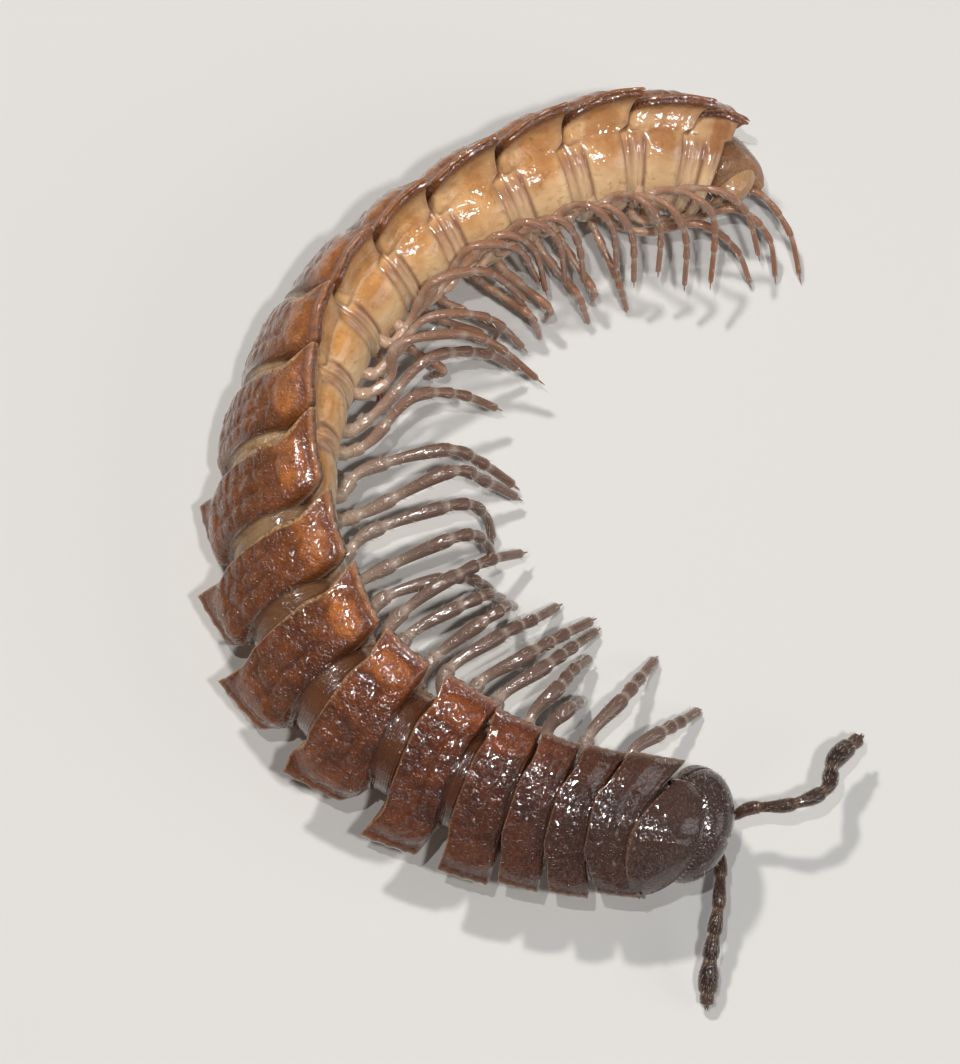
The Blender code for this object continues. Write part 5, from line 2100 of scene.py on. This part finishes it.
@dataclass(frozen=True)
class Studio:
    """Floor, lights and camera."""

    target: Triple = (-0.89, 0.13, 1.9)
    elevation: float = 74.0
    distance: float = 118.0
    picture_height: float = 21.28
    sensor: float = 36.0
    floor_half: float = 600.0
    lamps: tuple[tuple[str, Triple, float, float, Triple], ...] = (
        ("key", (-40.0, 60.0, 160.0), 12.0, 0.16, (1.0, 0.97, 0.93)),
        ("flash", (25.0, -50.0, 170.0), 8.0, 0.13, (1.0, 0.99, 0.98)),
        ("spark", (-12.0, -20.0, 150.0), 1.2, 0.06, (1.0, 1.0, 1.0)),
        ("fill", (130.0, -40.0, 90.0), 90.0, 0.04, (0.96, 0.98, 1.0)))
    sky: Triple = (0.9, 0.93, 1.0)
    sky_strength: float = 0.09

    def build(self) -> None:
        """Make the floor, the lights and the camera."""
        mesh = bpy.data.meshes.new("floor")
        r = self.floor_half * MM
        mesh.from_pydata([(-r, -r, 0), (r, -r, 0), (r, r, 0), (-r, r, 0)], [], [(0, 1, 2, 3)])
        floor = bpy.data.objects.new("floor", mesh)
        bpy.context.scene.collection.objects.link(floor)
        g = Graph("floor_card")
        floor.data.materials.append(g.surface({"Base Color": (0.60, 0.59, 0.57, 1.0), "Roughness": 0.8,
                                               "Specular IOR Level": 0.2}))
        for lamp in self.lamps:
            self._light(*lamp)
        world = bpy.data.worlds.new("room")
        world.use_nodes = True
        inputs = world.node_tree.nodes["Background"].inputs
        inputs["Color"].default_value = (*self.sky, 1.0)
        inputs["Strength"].default_value = self.sky_strength
        bpy.context.scene.world = world
        bpy.context.scene.view_settings.view_transform = "Standard"
        self._camera()

    def _light(self, name: str, place: Triple, size: float, power: float, colour: Triple) -> None:
        """Set an area light that faces the animal.

        Args:
            name: Its name.
            place: Its place in mm.
            size: Its width in mm.
            power: Its power in watts.
            colour: Its colour.
        """
        lamp = bpy.data.lights.new(name, "AREA")
        lamp.size = size * MM
        lamp.energy = power
        lamp.color = colour
        obj = bpy.data.objects.new(name, lamp)
        obj.location = Vector(place) * MM
        obj.rotation_euler = (-Vector(place)).to_track_quat("-Z", "Y").to_euler()
        bpy.context.scene.collection.objects.link(obj)

    def _camera(self) -> None:
        """The camera at the photograph's angle."""
        data = bpy.data.cameras.new("camera")
        data.sensor_fit = "VERTICAL"
        data.sensor_height = self.sensor
        data.lens = self.sensor * self.distance / self.picture_height
        data.clip_start = 0.001
        camera = bpy.data.objects.new("camera", data)
        e = math.radians(self.elevation)
        away = Vector((0.0, -math.cos(e), math.sin(e))) * self.distance
        camera.location = (Vector(self.target) + away) * MM
        camera.rotation_euler = (-away).to_track_quat("-Z", "Y").to_euler()
        bpy.context.scene.collection.objects.link(camera)
        bpy.context.scene.camera = camera


@dataclass
class Millipede:
    """The whole animal, piece by piece."""

    plan: BodyPlan = field(default_factory=BodyPlan)

    def build(self, finishes: Finishes) -> None:
        """Build and dress every piece in order.

        Args:
            finishes: The materials.
        """
        line = BodyLine(self.plan)
        section = Section(self.plan)
        collum = Collum(self.plan, line, section)
        shield = collum.build("collum_shell")
        dress(shield, finishes.shell, "front_shell", "collum")
        fringe = Bristles(Root.POINTS, 0.07, 0.005, lean=1.6)
        self._rooted("collum_fringe", collum.fringe_places, fringe, 1, finishes.bristle, "front_shell",
                     shield)
        self._head(line, finishes)
        legs = LegPlan()
        hair = Bristles(Root.SURFACE, 0.13, 0.006, 34.0, 1.2)
        tooth_hair = Bristles(Root.POINTS, 0.08, 0.0045, lean=1.2)
        for number in range(2, self.plan.last_ring + 1):
            shape = RingShape(number, self.plan, line)
            shell = RingShell(shape, section, Ornament())
            node = f"ring_{number:02d}"
            back = shell.build(f"{node}_shell")
            dress(back, finishes.shell, "ring_shell", node)
            self._rooted(f"{node}_back_bristles", shell.bristle_places, tooth_hair, number,
                         finishes.bristle, "ring_shell", back)
            if number <= self.plan.last_legged:
                limbs = Legs(shape, legs).build(f"{node}_legs")
                dress(limbs, finishes.leg, "ring_shell", node)
                dress(hair.grow(f"{node}_leg_bristles", limbs, number, finishes.bristle),
                      finishes.bristle, "ring_shell")
        telson = Telson(self.plan, line, section).build("telson_shell")
        dress(telson, finishes.shell, "ring_shell", "telson")
        tail_hair = Bristles(Root.SURFACE, 0.20, 0.008, 5.0, 1.5)
        dress(tail_hair.grow("telson_bristles", telson, 5, finishes.bristle), finishes.bristle,
              "ring_shell")

    def _rooted(self, name: str, roots: list, kind: Bristles, seed: int, look: bpy.types.Material,
                slot: str, skin: bpy.types.Object) -> None:
        """Grow bristles at noted places.

        Args:
            name: The piece's name.
            roots: Place, way out and way along of each bristle.
            kind: The bristles.
            seed: The seed of what is random.
            look: Their material.
            slot: The slot name, handed on to dress.
            skin: The skin that they stand on.
        """
        seeds = points_object(f"{name}_seeds", *(np.array(k) for k in zip(*roots)))
        dress(kind.grow(name, seeds, seed, look, skin), look, slot)
        bpy.data.objects.remove(seeds)

    def _head(self, line: BodyLine, finishes: Finishes) -> None:
        """Build the head, the feelers and their bristles.

        Args:
            line: The body's middle line.
            finishes: The materials.
        """
        head = Head(line)
        capsule = head.build("head_capsule")
        dress(capsule, finishes.head, "front_shell", "head")
        down = Bristles(Root.SURFACE, 0.10, 0.005, 30.0, 0.9)
        dress(down.grow("head_bristles", capsule, 3, finishes.bristle), finishes.bristle, "front_shell")
        coat = Bristles(Root.SURFACE, 0.075, 0.0045, 150.0, 1.3)
        routes = {
            "antenna_left": (1.0, ((4.40, -5.60, 1.62), (5.17, -5.60, 1.92), (5.87, -5.26, 1.80),
                                   (6.07, -4.60, 1.50), (6.63, -4.04, 1.20))),
            "antenna_right": (-1.0, ((3.76, -7.31, 1.32), (3.68, -7.87, 1.12), (3.58, -8.50, 0.80),
                                     (3.52, -9.34, 0.32)))}
        for node, (side, places) in routes.items():
            feeler = Feeler(head, places, side).build(f"{node}_articles")
            dress(feeler, finishes.feeler, "feeler_shell", node)
            dress(coat.grow(f"{node}_bristles", feeler, 9, finishes.bristle), finishes.bristle,
                  "feeler_shell")


def main() -> None:
    """Build the scene over the frame."""
    logging.basicConfig(level=logging.INFO, format="%(message)s")
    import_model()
    Millipede().build(Finishes.make())
    Studio().build()


if __name__ == "__main__":
    main()
